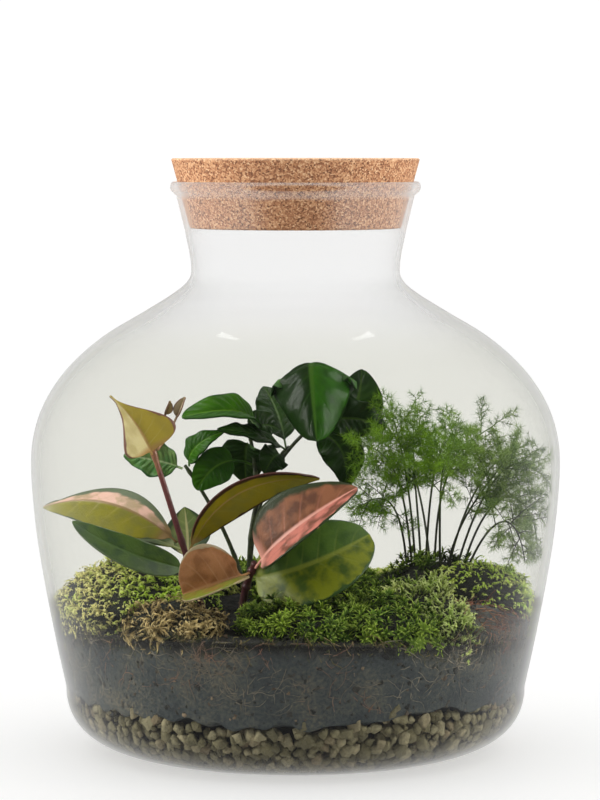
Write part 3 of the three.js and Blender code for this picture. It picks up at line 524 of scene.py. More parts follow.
# %% [markdown]
# ## The cork stopper
# A disc stopper is pressed from cork granules and turned to a slight taper. It is turned here in the
# same way as the jar, in enough rings for the small pits where granules have broken out: a noise
# pushes them in after the shape is made, deeper than a bump in the material could show at the edge.

# %% Turn the cork
CORK = {"bottom_radius": 50, "bottom": 246.6, "top_radius": 58.6, "top": 279.5, "chamfer": 0.6}
CORK_RINGS = 36
PIT_DEPTH = 0.9
CORK_SEGMENTS = 240


def cork_outline():
    low, high, chamfer = CORK["bottom"], CORK["top"], CORK["chamfer"]
    outline = [(CORK["bottom_radius"] * share, low) for share in np.linspace(0.1, 0.96, 10)]
    outline.append((CORK["bottom_radius"] - chamfer, low))
    for share in np.linspace(0, 1, CORK_RINGS):
        radius = CORK["bottom_radius"] + (CORK["top_radius"] - CORK["bottom_radius"]) * share
        outline.append((radius, low + chamfer + (high - low - 2 * chamfer) * share))
    outline.append((CORK["top_radius"] - chamfer, high))
    outline += [(CORK["top_radius"] * share, high) for share in np.linspace(0.97, 0.05, 26)]
    return outline


def pit_depth(point):
    """How far a point of the cork is pushed in, in millimetres: a few sharp pits in a grainy face."""
    distances, _ = noise.voronoi(point * 260, distance_metric="DISTANCE", exponent=2.5)
    cell = noise.noise(point * 170)
    pit = max(0, 0.34 - distances[0]) / 0.34 if cell > 0.42 else 0
    return PIT_DEPTH * pit + 0.1 * abs(noise.noise(point * 900))


cork = turned_by_hand("cork_stopper_pressed", cork_outline(), CORK_SEGMENTS)
for vertex in cork.data.vertices:
    vertex.co -= vertex.normal * pit_depth(vertex.co) * MM
cork.data.shade_smooth()

# %% Cork finish
cork_face, tree, output = new_material("pressed_cork")
place = add(tree, "TexCoord")
granules = add(tree, "TexVoronoi", {"Vector": place.outputs["Object"], "Scale": 1300.0, "Randomness": 1.0})
granule_tone = add(tree, "SeparateColor", {0: granules.outputs["Color"]})
fine = add(tree, "TexNoise", {"Vector": place.outputs["Object"], "Scale": 1800.0, "Detail": 4.0})
tone = add(tree, "Math", {0: granule_tone, 1: 0.62, 2: -0.1}, operation="MULTIPLY_ADD")
tone = add(tree, "Math", {0: fine, 1: 0.7, 2: tone}, operation="MULTIPLY_ADD")
body_colour = add(
    tree,
    "ValToRGB",
    {"Fac": tone},
    stops=[(0.2, "#5c3824"), (0.34, "#8a5a3c"), (0.55, "#b07a54"), (0.78, "#cb9a70"), (0.92, "#e0b890")],
)
level = add(tree, "SeparateXYZ", {0: place.outputs["Object"]})
# painted light: the top face and the top of the edge turn pale cream, as lit from above
painted_top_light = add(tree, "MapRange", span(level.outputs["Z"], 278.3 * MM, 279.3 * MM, 0.0, 0.2))
cork_colour = add(tree, "Mix", {"Factor": painted_top_light, 6: body_colour, 7: "#f0d9b4"}, data_type="RGBA")
cork_bump = add(
    tree, "Bump", {"Strength": 0.35, "Distance": 0.0004, "Height": granules.outputs["Distance"]}
)
coat(tree, output, cork_colour, 0.85, cork_bump)
cork.data.materials.append(cork_face)
finish_piece(cork, "cork", "cork_stopper")

# %% [markdown]
# ## The layers
# Gravel, soil and moss are heaped by hand, so their tops are gentle hills and not planes: the heights
# above are the ones that shape the plain solids. Everything loose is pressed against the glass at
# most, so a point that would pass the wall is drawn back to it.

# %% Room inside the glass
JAR_INSIDE = np.array(jar_inside)
CLEARANCE = 0.2


def glass_at(height):
    """Radius of the glass inside at a height."""
    return np.interp(height, JAR_INSIDE[:, 1], JAR_INSIDE[:, 0])


def kept_inside(points, clearance=CLEARANCE):
    radius = np.hypot(points[:, 0], points[:, 1])
    room = glass_at(points[:, 2]) - clearance
    share = np.minimum(1, room / np.maximum(radius, 1e-6))
    points[:, :2] *= share[:, None]
    return points


# %% [markdown]
# ## Stamping small shapes
# A stone, a crumb or a moss shoot is modelled once, and its copies are then stamped into one mesh:
# the points of every copy are turned, scaled and moved together. Each copy also gets a `tint`, a
# number that its material turns into a shade of its own, and each point keeps its `tip`, which says
# how far it stands from the root of the shape.

# %% Stamp
def arrays_object(name, points, faces, smooth=False, **attributes):
    """An object from points in millimetres, faces of equal corner count and values for each point."""
    mesh = bpy.data.meshes.new(name)
    count, corners = faces.shape
    mesh.vertices.add(len(points))
    mesh.vertices.foreach_set("co", (points * MM).astype(np.float32).ravel())
    mesh.loops.add(count * corners)
    mesh.loops.foreach_set("vertex_index", faces.astype(np.int32).ravel())
    mesh.polygons.add(count)
    mesh.polygons.foreach_set("loop_start", np.arange(count, dtype=np.int32) * corners)
    for key, values in attributes.items():
        mesh.attributes.new(key, "FLOAT", "POINT").data.foreach_set("value", values.astype(np.float32))
    mesh.update(calc_edges=True)
    if smooth:
        mesh.shade_smooth()
    made = bpy.data.objects.new(name, mesh)
    bpy.context.scene.collection.objects.link(made)
    return made


def stamped(shapes, picks, places, turns, sizes, tints):
    """Points, triangles, tints and tips of many copies of a few (points, triangles, tips) shapes."""
    points, faces, tint, tip = [], [], [], []
    start = 0
    for i, (corners, triangles, tips) in enumerate(shapes):
        chosen = picks == i
        copies = int(chosen.sum())
        if not copies:
            continue
        sized = corners[None] * sizes[chosen][:, None, :]
        moved = np.einsum("kij,knj->kni", turns[chosen], sized) + places[chosen][:, None, :]
        points.append(moved.reshape(-1, 3))
        offsets = start + np.arange(copies) * len(corners)
        faces.append((triangles[None] + offsets[:, None, None]).reshape(-1, 3))
        tint.append(np.repeat(tints[chosen], len(corners)))
        tip.append(np.tile(tips, copies))
        start += copies * len(corners)
    return np.concatenate(points), np.concatenate(faces), np.concatenate(tint), np.concatenate(tip)


def frames_of(normals, spins):
    """Turns whose third axis is each normal, spun about it by an angle."""
    normals = normals / np.linalg.norm(normals, axis=1)[:, None]
    helper = np.where(np.abs(normals[:, 2:3]) > 0.9, [[1.0, 0, 0]], [[0, 0, 1.0]])
    first = np.cross(helper, normals)
    first /= np.linalg.norm(first, axis=1)[:, None]
    second = np.cross(normals, first)
    cos, sin = np.cos(spins)[:, None], np.sin(spins)[:, None]
    return np.stack([first * cos + second * sin, second * cos - first * sin, normals], axis=2)


# %% [markdown]
# ## Gravel
# The drainage layer is a crushed olive-grey gravel of 6 to 7 mm. One stone is a cube with bevelled
# edges and shaken corners; a few such stones are modelled and thousands of copies lie two deep along
# the glass, where they show, with a core of the same outline behind them painted near black as shade.

# %% Model the stones
STONE_KINDS = 9


def stone_shape(seed):
    deselect()
    bpy.ops.mesh.primitive_cube_add(size=1.5)
    stone = bpy.context.object
    bpy.ops.object.mode_set(mode="EDIT")
    bpy.ops.mesh.select_all(action="SELECT")
    bpy.ops.transform.vertex_random(offset=0.55, uniform=0.6, seed=seed)
    bpy.ops.mesh.bevel(offset=0.2 + 0.06 * (seed % 3), affect="EDGES")
    bpy.ops.transform.vertex_random(offset=0.13, uniform=0.8, seed=seed + 40)
    bpy.ops.mesh.quads_convert_to_tris()
    bpy.ops.mesh.normals_make_consistent(inside=False)
    bpy.ops.object.mode_set(mode="OBJECT")
    points = np.array([v.co for v in stone.data.vertices])
    points = points - points.mean(axis=0)
    points /= np.abs(points).max()
    triangles = np.array([p.vertices for p in stone.data.polygons])
    bpy.data.objects.remove(stone)
    return points, triangles, np.zeros(len(points))


stones = [stone_shape(seed) for seed in range(1, STONE_KINDS + 1)]
print("a stone has", len(stones[0][1]), "triangles")

# %% Lay the stones along the glass
STONE_HALF = 3.0
ROW_STEP = 4.4


def gravel_line_at(x, y):
    """Where the stones end at the glass: higher at the sides, and ragged."""
    ragged = 1.3 * np.sin(x / 5.3 + y / 7) + 1.1 * np.sin(x / 2.9 - y / 4.1 + 1)
    return gravel_top_at(x, y) + 8.5 * (x / 110) ** 2 + ragged


def along_inside(step, depth, lowest, highest):
    """Places on the jar's inside, a depth in from the glass: radius and height at equal steps."""
    path = np.array([(0, FLOOR_THICKNESS)] + [tuple(p) for p in jar_inside])
    path = path[path[:, 1] <= highest + 6]
    slope = np.gradient(path, axis=0)
    slope /= np.linalg.norm(slope, axis=1)[:, None]
    inward = path + depth * np.stack([-slope[:, 1], slope[:, 0]], axis=1)
    length = np.concatenate([[0], np.cumsum(np.hypot(*np.diff(inward, axis=0).T))])
    marks = np.arange(step, length[-1], step)
    rows = np.stack([np.interp(marks, length, inward[:, k]) for k in range(2)], axis=1)
    return rows[(rows[:, 1] >= lowest) & (rows[:, 1] <= highest)]


def gravel_places(rng):
    places = []
    for depth, step in ((2.6, ROW_STEP), (6.6, ROW_STEP * 1.12)):
        for radius, height in along_inside(step, depth, 4, 40):
            if depth > 3 and radius < 62:
                continue
            count = max(6, int(2 * math.pi * radius / (step * 1.08)))
            angles = (np.arange(count) + rng.random()) * 2 * math.pi / count
            angles += rng.normal(0, 0.16, count) * 2 * math.pi / count
            rows = height + rng.normal(0, 1.0, count)
            out = radius + rng.normal(-0.3, 0.8, count)
            x, y = out * np.cos(angles), out * np.sin(angles)
            stray = rng.random(count) < 0.05
            keep = rows < gravel_line_at(x, y) - 2.2 + rng.normal(0, 1.0, count) + 5 * stray
            places.append(np.stack([x, y, rows], axis=1)[keep])
    return np.concatenate(places)


rng = np.random.default_rng(11)
places = gravel_places(rng)
count = len(places)
half_sizes = STONE_HALF * rng.normal(1, 0.2, (count, 1)).clip(0.5, 1.5)
half_sizes = half_sizes * rng.uniform(0.72, 1.15, (count, 3))
turns = frames_of(rng.normal(size=(count, 3)), rng.uniform(0, 2 * math.pi, count))
points, faces, tint, _ = stamped(
    stones, rng.integers(0, STONE_KINDS, count), places, turns, half_sizes, rng.random(count)
)
points[:, 2] = np.maximum(points[:, 2], FLOOR_THICKNESS + 0.2)
gravel = arrays_object("gravel_stones", kept_inside(points), faces, tint=tint)
print("stones laid:", count)

# %% The painted shade behind the stones
core_outline = [(40, 11.0), (64, 11.0), (86, 14.5), (94, 20.0)]
gravel_core = turned_by_hand("gravel_painted_shade_core", core_outline + [(93, 26), (60, 27), (20, 27)], 64)
for vertex in gravel_core.data.vertices:
    x, y, z = vertex.co / MM
    if z > 25.5:
        vertex.co.z = (float(gravel_top_at(x, y)) - 2.2) * MM

# %% Gravel finish
crushed_stone, tree, output = new_material("crushed_olive_gravel")
shade = add(tree, "Attribute", attribute_name="tint")
place = add(tree, "TexCoord")
dust = add(tree, "TexNoise", {"Vector": place.outputs["Object"], "Scale": 420.0, "Detail": 4.0})
grit = add(tree, "TexNoise", {"Vector": place.outputs["Object"], "Scale": 900.0, "Detail": 4.0})
stone_colour = add(
    tree,
    "ValToRGB",
    {"Fac": shade.outputs["Fac"]},
    stops=[(0.0, "#5c563a"), (0.3, "#7a7250"), (0.62, "#989070"), (0.85, "#b3a886"), (1.0, "#78654a")],
)
dusted = add(tree, "Mix", {"Factor": dust, 6: stone_colour, 7: "#5c5845"}, data_type="RGBA")
stone_bump = add(tree, "Bump", {"Strength": 0.8, "Distance": 0.0012, "Height": grit})
coat(tree, output, dusted, 0.92, stone_bump)
gravel.data.materials.append(crushed_stone)

# painted shade: a near-black mottle on the core, for the shade in the gaps between the stones
painted_gap_shade = mottled_material("painted_shade_between_stones", 260.0, 3.0, [(0.3, "#100e08"), (0.7, "#241f13")], 0.9)
gravel_core.data.materials.append(painted_gap_shade)
finish_piece(gravel, "gravel", "gravel_layer")
finish_piece(gravel_core, "gravel", "gravel_layer")

# %% [markdown]
# ## Potting soil
# The soil is fine dark peat with fibres, crumbs and a few pale roots pressed against the glass. Its
# body is turned like the jar, then every point goes to its real height and the wall and the top are
# roughened by noise. Crumbs are the same stones, small and dark, and the roots are thin tubes.

# %% Soil body
SOIL_SEGMENTS = 480
DENTS = 0.45
MOSS_SHADE_DEPTH = 6


def soil_outline():
    outline = [(100 * share, 0) for share in np.linspace(0.08, 0.94, 8)]
    outline += [(100, 100 * share) for share in np.linspace(0, 1, 34)]
    return outline + [(100 * share, 100) for share in np.linspace(0.985, 0.02, 60)]


def noise_at(points, scale, seed=0.0):
    """Noise from -1 to 1 at points in millimetres, with features of a size in millimetres."""
    return np.array([noise.noise(Vector(p) / scale + Vector((seed, seed, seed))) for p in points])


soil = turned_by_hand("potting_soil", soil_outline(), SOIL_SEGMENTS)
loose = np.array([v.co for v in soil.data.vertices]) / MM
share = np.hypot(loose[:, 0], loose[:, 1]) / 100
angle = np.arctan2(loose[:, 1], loose[:, 0])
rise = loose[:, 2] / 100
rim_room = glass_at(62) - 1
near = np.stack([np.cos(angle), np.sin(angle)], axis=1) * (share * rim_room)[:, None]
low = gravel_line_at(near[:, 0], near[:, 1]) - 1.0
high = soil_top_at(near[:, 0], near[:, 1])
height = low + (high - low) * rise
room = glass_at(height) - 0.35
placed = np.stack([np.cos(angle) * share * room, np.sin(angle) * share * room, height], axis=1)
crumbly = noise_at(placed, 2.2) + 0.6 * noise_at(placed, 0.9, 7)
wall = (share > 0.995).astype(float)
placed[:, :2] *= (1 - wall * np.clip(0.25 - crumbly, 0, 1.4) * DENTS / np.maximum(room, 1))[:, None]
top = (rise > 0.99) & (share < 0.995)
placed[:, 2] += np.where(top, 1.1 * crumbly + 0.8 * noise_at(placed, 9, 3), 0)
soil.data.vertices.foreach_set("co", (placed * MM).ravel())
# painted shade: the soil turns near black in its top few millimetres, under the moss
depth = soil_top_at(near[:, 0], near[:, 1]) - placed[:, 2]
moss_shade = (1 - (depth - 1) / MOSS_SHADE_DEPTH + 0.7 * noise_at(placed, 7, 5)).clip(0, 1)  # darkest under the moss
soil.data.attributes.new("moss_shade", "FLOAT", "POINT").data.foreach_set("value", moss_shade)
soil.data.shade_smooth()
print("soil stands", round(float(placed[:, 2].max()), 1), "mm high")

# %% Tubes for roots, fibres and stems
def bezier_points(route, shares):
    """Points on a Bezier curve of three or four controls."""
    p = np.array(route, float)
    t = np.asarray(shares)[:, None]
    if len(p) == 3:
        return (1 - t) ** 2 * p[0] + 2 * t * (1 - t) * p[1] + t**2 * p[2]
    return (1 - t) ** 3 * p[0] + 3 * t * (1 - t) ** 2 * p[1] + 3 * t**2 * (1 - t) * p[2] + t**3 * p[3]


def tube(path, radii, sides):
    """A closed round tube along a path, its triangles, and each point's share of the way."""
    path, radii = np.asarray(path, float), np.asarray(radii, float)
    along = np.gradient(path, axis=0)
    along /= np.linalg.norm(along, axis=1)[:, None]
    across = np.cross(along[0], [0, 0, 1] if abs(along[0][2]) < 0.9 else [1, 0, 0])
    rings = []
    for centre, direction, radius in zip(path, along, radii):
        across = across - direction * across.dot(direction)
        across /= np.linalg.norm(across)
        second = np.cross(direction, across)
        turn = np.arange(sides) * 2 * math.pi / sides
        rings.append(centre + radius * (np.cos(turn)[:, None] * across + np.sin(turn)[:, None] * second))
    points = np.concatenate(rings + [path[:1], path[-1:]])
    faces = []
    last = len(points) - 1
    for i in range(len(path) - 1):
        for j in range(sides):
            a, b = i * sides + j, i * sides + (j + 1) % sides
            faces += [(a, b, a + sides), (b, b + sides, a + sides)]
    end = (len(path) - 1) * sides
    for j in range(sides):
        k = (j + 1) % sides
        faces += [(last - 1, k, j), (last, end + j, end + k)]
    shares = np.concatenate([np.repeat(np.linspace(0, 1, len(path)), sides), [0, 1]])
    return points, np.array(faces), shares


def joined(parts):
    """One set of arrays out of several (points, faces, values) parts."""
    points, faces, values = [], [], []
    start = 0
    for part in parts:
        points.append(part[0])
        faces.append(part[1] + start)
        values.append(part[2])
        start += len(part[0])
    return np.concatenate(points), np.concatenate(faces), np.concatenate(values)


# %% Crumbs and roots
def crumb_places(rng, count):
    angles = rng.uniform(0, 2 * math.pi, count)
    heights = rng.uniform(0, 1, count)
    x, y = 108 * np.cos(angles), 108 * np.sin(angles)
    low = gravel_top_at(x, y) + 1
    heights = low + (soil_top_at(x, y) + 1 - low) * heights
    out = glass_at(heights) - rng.uniform(0.5, 1.6, count)
    return np.stack([out * np.cos(angles), out * np.sin(angles), heights], axis=1)


def top_places(rng, count):
    angles = rng.uniform(0, 2 * math.pi, count)
    out = 104 * np.sqrt(rng.random(count))
    x, y = out * np.cos(angles), out * np.sin(angles)
    return np.stack([x, y, soil_top_at(x, y) + rng.uniform(-0.4, 1.2, count)], axis=1)


rng = np.random.default_rng(23)
places = np.concatenate([crumb_places(rng, 2300), top_places(rng, 900)])
count = len(places)
half_sizes = rng.gamma(3.0, 0.22, (count, 1)).clip(0.25, 1.7) * rng.uniform(0.7, 1.3, (count, 3))
turns = frames_of(rng.normal(size=(count, 3)), rng.uniform(0, 2 * math.pi, count))
points, faces, tint, _ = stamped(
    stones, rng.integers(0, STONE_KINDS, count), places, turns, half_sizes, rng.random(count)
)
crumbs = arrays_object("peat_crumbs", kept_inside(points, 0.25), faces, tint=tint)
print("crumbs:", count)


def root(rng, angle, height, length, radius):
    """A root that wanders over the inside of the glass."""
    heading = rng.uniform(0, 2 * math.pi)
    path = []
    for _ in range(max(5, int(length / 2.2))):
        out = float(glass_at(height)) - radius - 0.3
        path.append((out * math.cos(angle), out * math.sin(angle), height))
        heading += rng.normal(0, 0.42)
        angle += 2.2 * math.cos(heading) / out
        height = min(max(height + 2.2 * math.sin(heading), 33), 66)
    radii = radius * np.linspace(1, 0.45, len(path))
    return tube(path, radii, 4)


LONE_ROOTS = 420
ROOT_CLUSTERS = [(-42, 54, 34), (-34, 58, 18), (-22, 46, 12), (34, 40, 6), (70, 56, 26), (92, 59, 24)]
roots = [
    root(rng, rng.uniform(0, 2 * math.pi), rng.uniform(38, 64), rng.uniform(5, 24), rng.uniform(0.09, 0.2))
    for _ in range(LONE_ROOTS)
]
for centre_x, centre_z, many in ROOT_CLUSTERS:
    middle = math.atan2(-math.sqrt(108**2 - centre_x**2), centre_x)
    for _ in range(many):
        angle, height = middle + rng.normal(0, 0.05), centre_z + rng.normal(0, 3.5)
        roots.append(root(rng, angle, height, 14, rng.uniform(0.1, 0.27)))
points, faces, tint = joined(roots)
pale_roots = arrays_object("pale_roots", kept_inside(points, 0.12), faces, smooth=True, tint=tint)

# %% Soil finishes
peat, tree, output = new_material("moist_peat_soil")
place = add(tree, "TexCoord")
patches = add(tree, "TexNoise", {"Vector": place.outputs["Object"], "Scale": 45.0, "Detail": 5.0})
peat_grain = add(tree, "TexNoise", {"Vector": place.outputs["Object"], "Scale": 700.0, "Detail": 4.0})
peat_tone = add(tree, "Math", {0: patches, 1: peat_grain}, operation="MULTIPLY")
peat_colour = add(
    tree,
    "ValToRGB",
    {"Fac": peat_tone},
    stops=[(0.1, "#262c30"), (0.22, "#393f41"), (0.34, "#4f504a"), (0.5, "#716857")],
)
# painted shade: near black where the soil lies just under the moss
moss_shade = add(tree, "Attribute", attribute_name="moss_shade")
shaded_peat = add(tree, "Mix", {"Factor": moss_shade.outputs["Fac"], 6: peat_colour, 7: "#0d0c09"}, data_type="RGBA")
peat_bump = add(tree, "Bump", {"Strength": 0.6, "Distance": 0.0006, "Height": peat_grain})
coat(tree, output, shaded_peat, 0.95, peat_bump)
soil.data.materials.append(peat)

crumb_stops = [(0.0, "#1c1e1e"), (0.45, "#2f302e"), (0.8, "#403c35"), (0.93, "#5a4a3c"), (1.0, "#8b7a64")]
crumbs.data.materials.append(tinted_material("peat_and_bark_crumbs", crumb_stops, 0.95))
root_stops = [(0.35, "#8f8674"), (0.5, "#6a6052"), (0.6, "#855a46"), (0.75, "#a89a84")]
pale_roots.data.materials.append(mottled_material("young_root_bark", 28.0, 2.0, root_stops, 0.7))
for piece in (soil, crumbs, pale_roots):
    finish_piece(piece, "soil", "soil_bed")

# %% [markdown]
# ## Moss cushions
# Moss is lifted from the ground in cushions, and the cushions are set side by side on the soil. Each
# one keeps the ground, the height and the brow of its plain solid: a near-black body of old shoots,
# painted as the shade between the shoots, carries thousands of living ones, each darkest at its root,
# where it is old and shaded. Two kinds of shoot are modelled once each: a creeping feather moss with
# curled strands, and a haircap moss whose leaves spread like stars. The pale and the dried moss are the
# feather moss again, longer and straighter or more curled.

# %% The cushions' ground and height
CUSHIONS = [
    # name, centre, reach, swell, kind of shoot
    ("moss_mound_left", (-78, -24), 44, 1, "feather"),
    ("moss_back_left", (-62, 48), 42, 1, "feather"),
    ("moss_dried_tuft", (-55, -80), 22, 1.2, "dried"),
    ("moss_bank_front", (4, -66), 36, 1, "star"),
    ("moss_bright_tuft", (43, -78), 22, 1.15, "star"),
    ("moss_pale_tuft", (62, -58), 26, 1.1, "pale"),
    ("root_mat_right", (88, -52), 26, 0.62, "roots"),
    ("moss_mound_right", (94, -8), 34, 1, "feather"),
    ("moss_fern_bed", (62, 16), 28, 1, "star"),
    ("moss_back_right", (48, 66), 40, 1, "feather"),
    ("moss_back", (-6, 66), 36, 1, "star"),
    ("moss_middle", (14, -12), 28, 1, "star"),
]
BARE_SPOTS = [((-32, -58), 22), ((-26, 12), 16)]
BROW = 0.28


def reach_at(cushion, angle):
    """How far a cushion spreads: to its own reach, to the glass, or to its neighbours' border."""
    name, (cx, cy), own = cushion[:3]
    ux, uy = np.cos(angle), np.sin(angle)
    reach = own * (1 + 0.06 * np.sin(3 * angle + cx))
    room = room_at(float(soil_top_at(cx, cy))) - 0.6
    along = cx * ux + cy * uy
    reach = np.minimum(reach, np.sqrt(along**2 + room**2 - cx**2 - cy**2) - along)
    others = [(c[1], c[2]) for c in CUSHIONS if c[0] != name] + BARE_SPOTS
    for (x, y), spread in others:
        dx, dy = x - cx, y - cy
        towards = dx * ux + dy * uy
        border = (dx * dx + dy * dy) * own / (own + spread) / np.where(towards > 1e-6, towards, 1e-6)
        reach = np.where(towards > 1e-6, np.minimum(reach, border - GAP / 2 - 0.1), reach)
    return reach


def cushion_top(cushion, x, y, share):
    low = soil_top_at(x, y)
    return low + (moss_top_at(x, y) - low) * cushion[3] * (1 - BROW * share**4)


# %% The body of a cushion
def cushion_body(cushion, spokes=72, rings=12):
    cx, cy = cushion[1]
    angle = np.arange(spokes) * 2 * math.pi / spokes
    reach = reach_at(cushion, angle)
    rows = []
    for share in np.linspace(0, 1, rings + 1)[1:]:
        x, y = cx + reach * share * np.cos(angle), cy + reach * share * np.sin(angle)
        rows.append(np.stack([x, y, cushion_top(cushion, x, y, share) - 1.4 - 1.2 * share**6], axis=1))
    rows[-1][:, :2] += (np.array([cx, cy]) - rows[-1][:, :2]) * 0.03
    for share, rise in ((0.97, 0.5), (0.96, 0.0), (0.5, 0.0)):
        x, y = cx + reach * share * np.cos(angle), cy + reach * share * np.sin(angle)
        foot = soil_top_at(x, y) + 0.4
        rows.append(np.stack([x, y, foot + (cushion_top(cushion, x, y, 1.0) - 1.4 - foot) * rise], axis=1))
    points = np.concatenate(rows)
    lumps = noise_at(points, 5, 2) + 0.5 * noise_at(points, 2, 5)
    points[:, 2] += np.where(np.arange(len(points)) < spokes * rings, 1.1 * lumps, 0)
    poles = [
        (cx, cy, float(cushion_top(cushion, cx, cy, 0.0)) - 1.4),
        (cx, cy, float(soil_top_at(cx, cy)) + 0.4),
    ]
    points = np.concatenate([points, poles])
    first, last = len(points) - 2, len(points) - 1
    faces = []
    for j in range(spokes):
        k = (j + 1) % spokes
        faces.append((first, j, k))
        for i in range(len(rows) - 1):
            a, b = i * spokes + j, i * spokes + k
            faces += [(a, a + spokes, b), (b, a + spokes, b + spokes)]
        end = (len(rows) - 1) * spokes
        faces.append((last, end + k, end + j))
    return points, np.array(faces)


# %% Model the shoots
def leaflet(foot, heading, lean, length, width, droop):
    """A pointed strip of two spans that leans away from a shoot and droops at its tip."""
    out = np.array([math.cos(heading), math.sin(heading), 0])
    side = np.array([-math.sin(heading), math.cos(heading), 0]) * width / 2
    first = math.radians(lean)
    second = math.radians(lean + droop)
    middle = foot + 0.5 * length * (out * math.sin(first) + np.array([0, 0, math.cos(first)]))
    tip = middle + 0.5 * length * (out * math.sin(second) + np.array([0, 0, math.cos(second)]))
    points = np.array([foot - side * 0.5, foot + side * 0.5, middle - side, middle + side, tip])
    return points, np.array([(0, 1, 3), (0, 3, 2), (2, 3, 4)]), np.array([0.35, 0.35, 0.7, 0.7, 1.0])


def star_shoot(seed):
    """A haircap shoot: whorls of leaves up a short stem, the top one spread like a star."""
    rng = np.random.default_rng(seed)
    parts = []
    whorls = ((1.2, 4, 72, 2.6), (2.7, 5, 64, 3.1), (4.1, 6, 52, 3.5), (4.6, 3, 20, 2.6))
    for height, leaves, lean, length in whorls:
        start = rng.uniform(0, 6.3)
        for i in range(leaves):
            heading = start + 2 * math.pi * i / leaves + rng.normal(0, 0.2)
            foot = np.array([0, 0, height + rng.normal(0, 0.15)])
            part = leaflet(foot, heading, lean + rng.normal(0, 9), length * rng.uniform(0.8, 1.2), 0.78, 28)
            parts.append((part[0], part[1], part[2] * (0.2 + 0.8 * height / 4.6)))
    return joined(parts)


def feather_shoot(seed, length=5.4, curl=1.0):
    """A feather moss strand: it arches over, with small leaves in two rows."""
    rng = np.random.default_rng(seed)
    lean = rng.uniform(0.1, 0.35)
    path, headings = [np.zeros(3)], []
    for _ in range(6):
        headings.append(lean)
        path.append(path[-1] + length / 6 * np.array([math.sin(lean), 0.12 * rng.normal(), math.cos(lean)]))
        lean += curl * rng.uniform(0.16, 0.42)
    parts = []
    for i in range(6):
        for side in (-1, 1):
            foot = path[i] + (path[i + 1] - path[i]) * rng.random()
            heading = side * rng.uniform(0.5, 1.3)
            span = 1.7 * (1 - 0.09 * i)
            part = leaflet(foot, heading, math.degrees(headings[i]) + 38, span, 0.42, 14)
            parts.append((part[0], part[1], part[2] * 0.3 + 0.7 * (i + 0.5) / 6))
    spine = np.array(path)
    width = np.array([0, 0.26, 0])
    ribbon = np.concatenate([spine - width, spine[:-1] + width])
    faces = []
    for i in range(5):
        faces += [(i, i + 1, 7 + i), (i + 1, 8 + i, 7 + i)]
    faces.append((5, 6, 12))
    tips = np.concatenate([np.linspace(0, 1, 7), np.linspace(0, 1, 7)[:-1]])
    parts.append((ribbon, np.array(faces), tips))
    return joined(parts)


SHOOTS = {
    "star": [star_shoot(seed) for seed in range(4)],
    "feather": [feather_shoot(seed) for seed in range(5)],
    "pale": [feather_shoot(seed, 6.4, 0.45) for seed in range(20, 24)],
    "dried": [feather_shoot(seed, 7.4, 1.35) for seed in range(30, 35)],
}
SPACING = {"star": 3.6, "feather": 1.8, "pale": 1.9, "dried": 2.0}
SHOOT_SIZE = {"star": 1.3, "feather": 1.05, "pale": 1.15, "dried": 1.1}
CLEFT = {"star": 0.1, "feather": 0.02, "pale": 0.04, "dried": 0.05}
print("triangles in a star:", len(SHOOTS["star"][0][1]), "in a strand:", len(SHOOTS["feather"][0][1]))


# %% Plant the shoots
def shoot_spots(cushion, spacing, rng):
    """Places and outward directions over the top of a cushion and down its sides."""
    (cx, cy), own = cushion[1:3]
    steps = np.arange(-own * 1.1, own * 1.1, spacing)
    x, y = [g.ravel() for g in np.meshgrid(steps, steps)]
    x = x + rng.uniform(-0.5, 0.5, len(x)) * spacing
    y = y + rng.uniform(-0.5, 0.5, len(y)) * spacing
    angle = np.arctan2(y, x)
    share = np.hypot(x, y) / reach_at(cushion, angle)
    inside = share < 0.97
    x, y, share = x[inside] + cx, y[inside] + cy, share[inside]
    z = cushion_top(cushion, x, y, share)
    slope_x = (cushion_top(cushion, x + 1, y, share) - z) + 4 * BROW * share**3 * (x - cx) / own * 0.5
    slope_y = (cushion_top(cushion, x, y + 1, share) - z) + 4 * BROW * share**3 * (y - cy) / own * 0.5
    lean = 0.9 * share**3
    away = np.stack([x - cx, y - cy], axis=1) / np.maximum(np.hypot(x - cx, y - cy), 1e-6)[:, None]
    tilt_x, tilt_y = lean * away[:, 0] - slope_x, lean * away[:, 1] - slope_y
    spots = [np.stack([x, y, z - 3.0], axis=1)]
    ways = [np.stack([tilt_x, tilt_y, np.ones(len(x))], axis=1)]
    around = max(12, int(2 * math.pi * own * 0.85 / spacing))
    for row in np.arange(-0.55, 1.0, spacing / 11.0):
        angle = (np.arange(around) + rng.random(around)) * 2 * math.pi / around
        reach = reach_at(cushion, angle) * 0.97
        x, y = cx + reach * np.cos(angle), cy + reach * np.sin(angle)
        foot = soil_top_at(x, y) + 0.6
        z = foot + (cushion_top(cushion, x, y, 1.0) - foot) * row
        if row < 0:  # a ragged fringe hangs over the edge of the soil
            ragged = 0.5 + 0.9 * np.sin(7 * angle + cx) * np.sin(13 * angle + cy) + row / 0.55
            kept = rng.random(around) < ragged
            angle, x, y, z = angle[kept], x[kept], y[kept], z[kept]
        inward = np.stack([np.cos(angle), np.sin(angle)], axis=1) * 2.2
        spots.append(np.stack([x - inward[:, 0], y - inward[:, 1], z - 1.0], axis=1))
        up = np.full(len(angle), 0.15 + 0.9 * row)
        ways.append(np.stack([np.cos(angle), np.sin(angle), up], axis=1))
    return np.concatenate(spots), np.concatenate(ways)


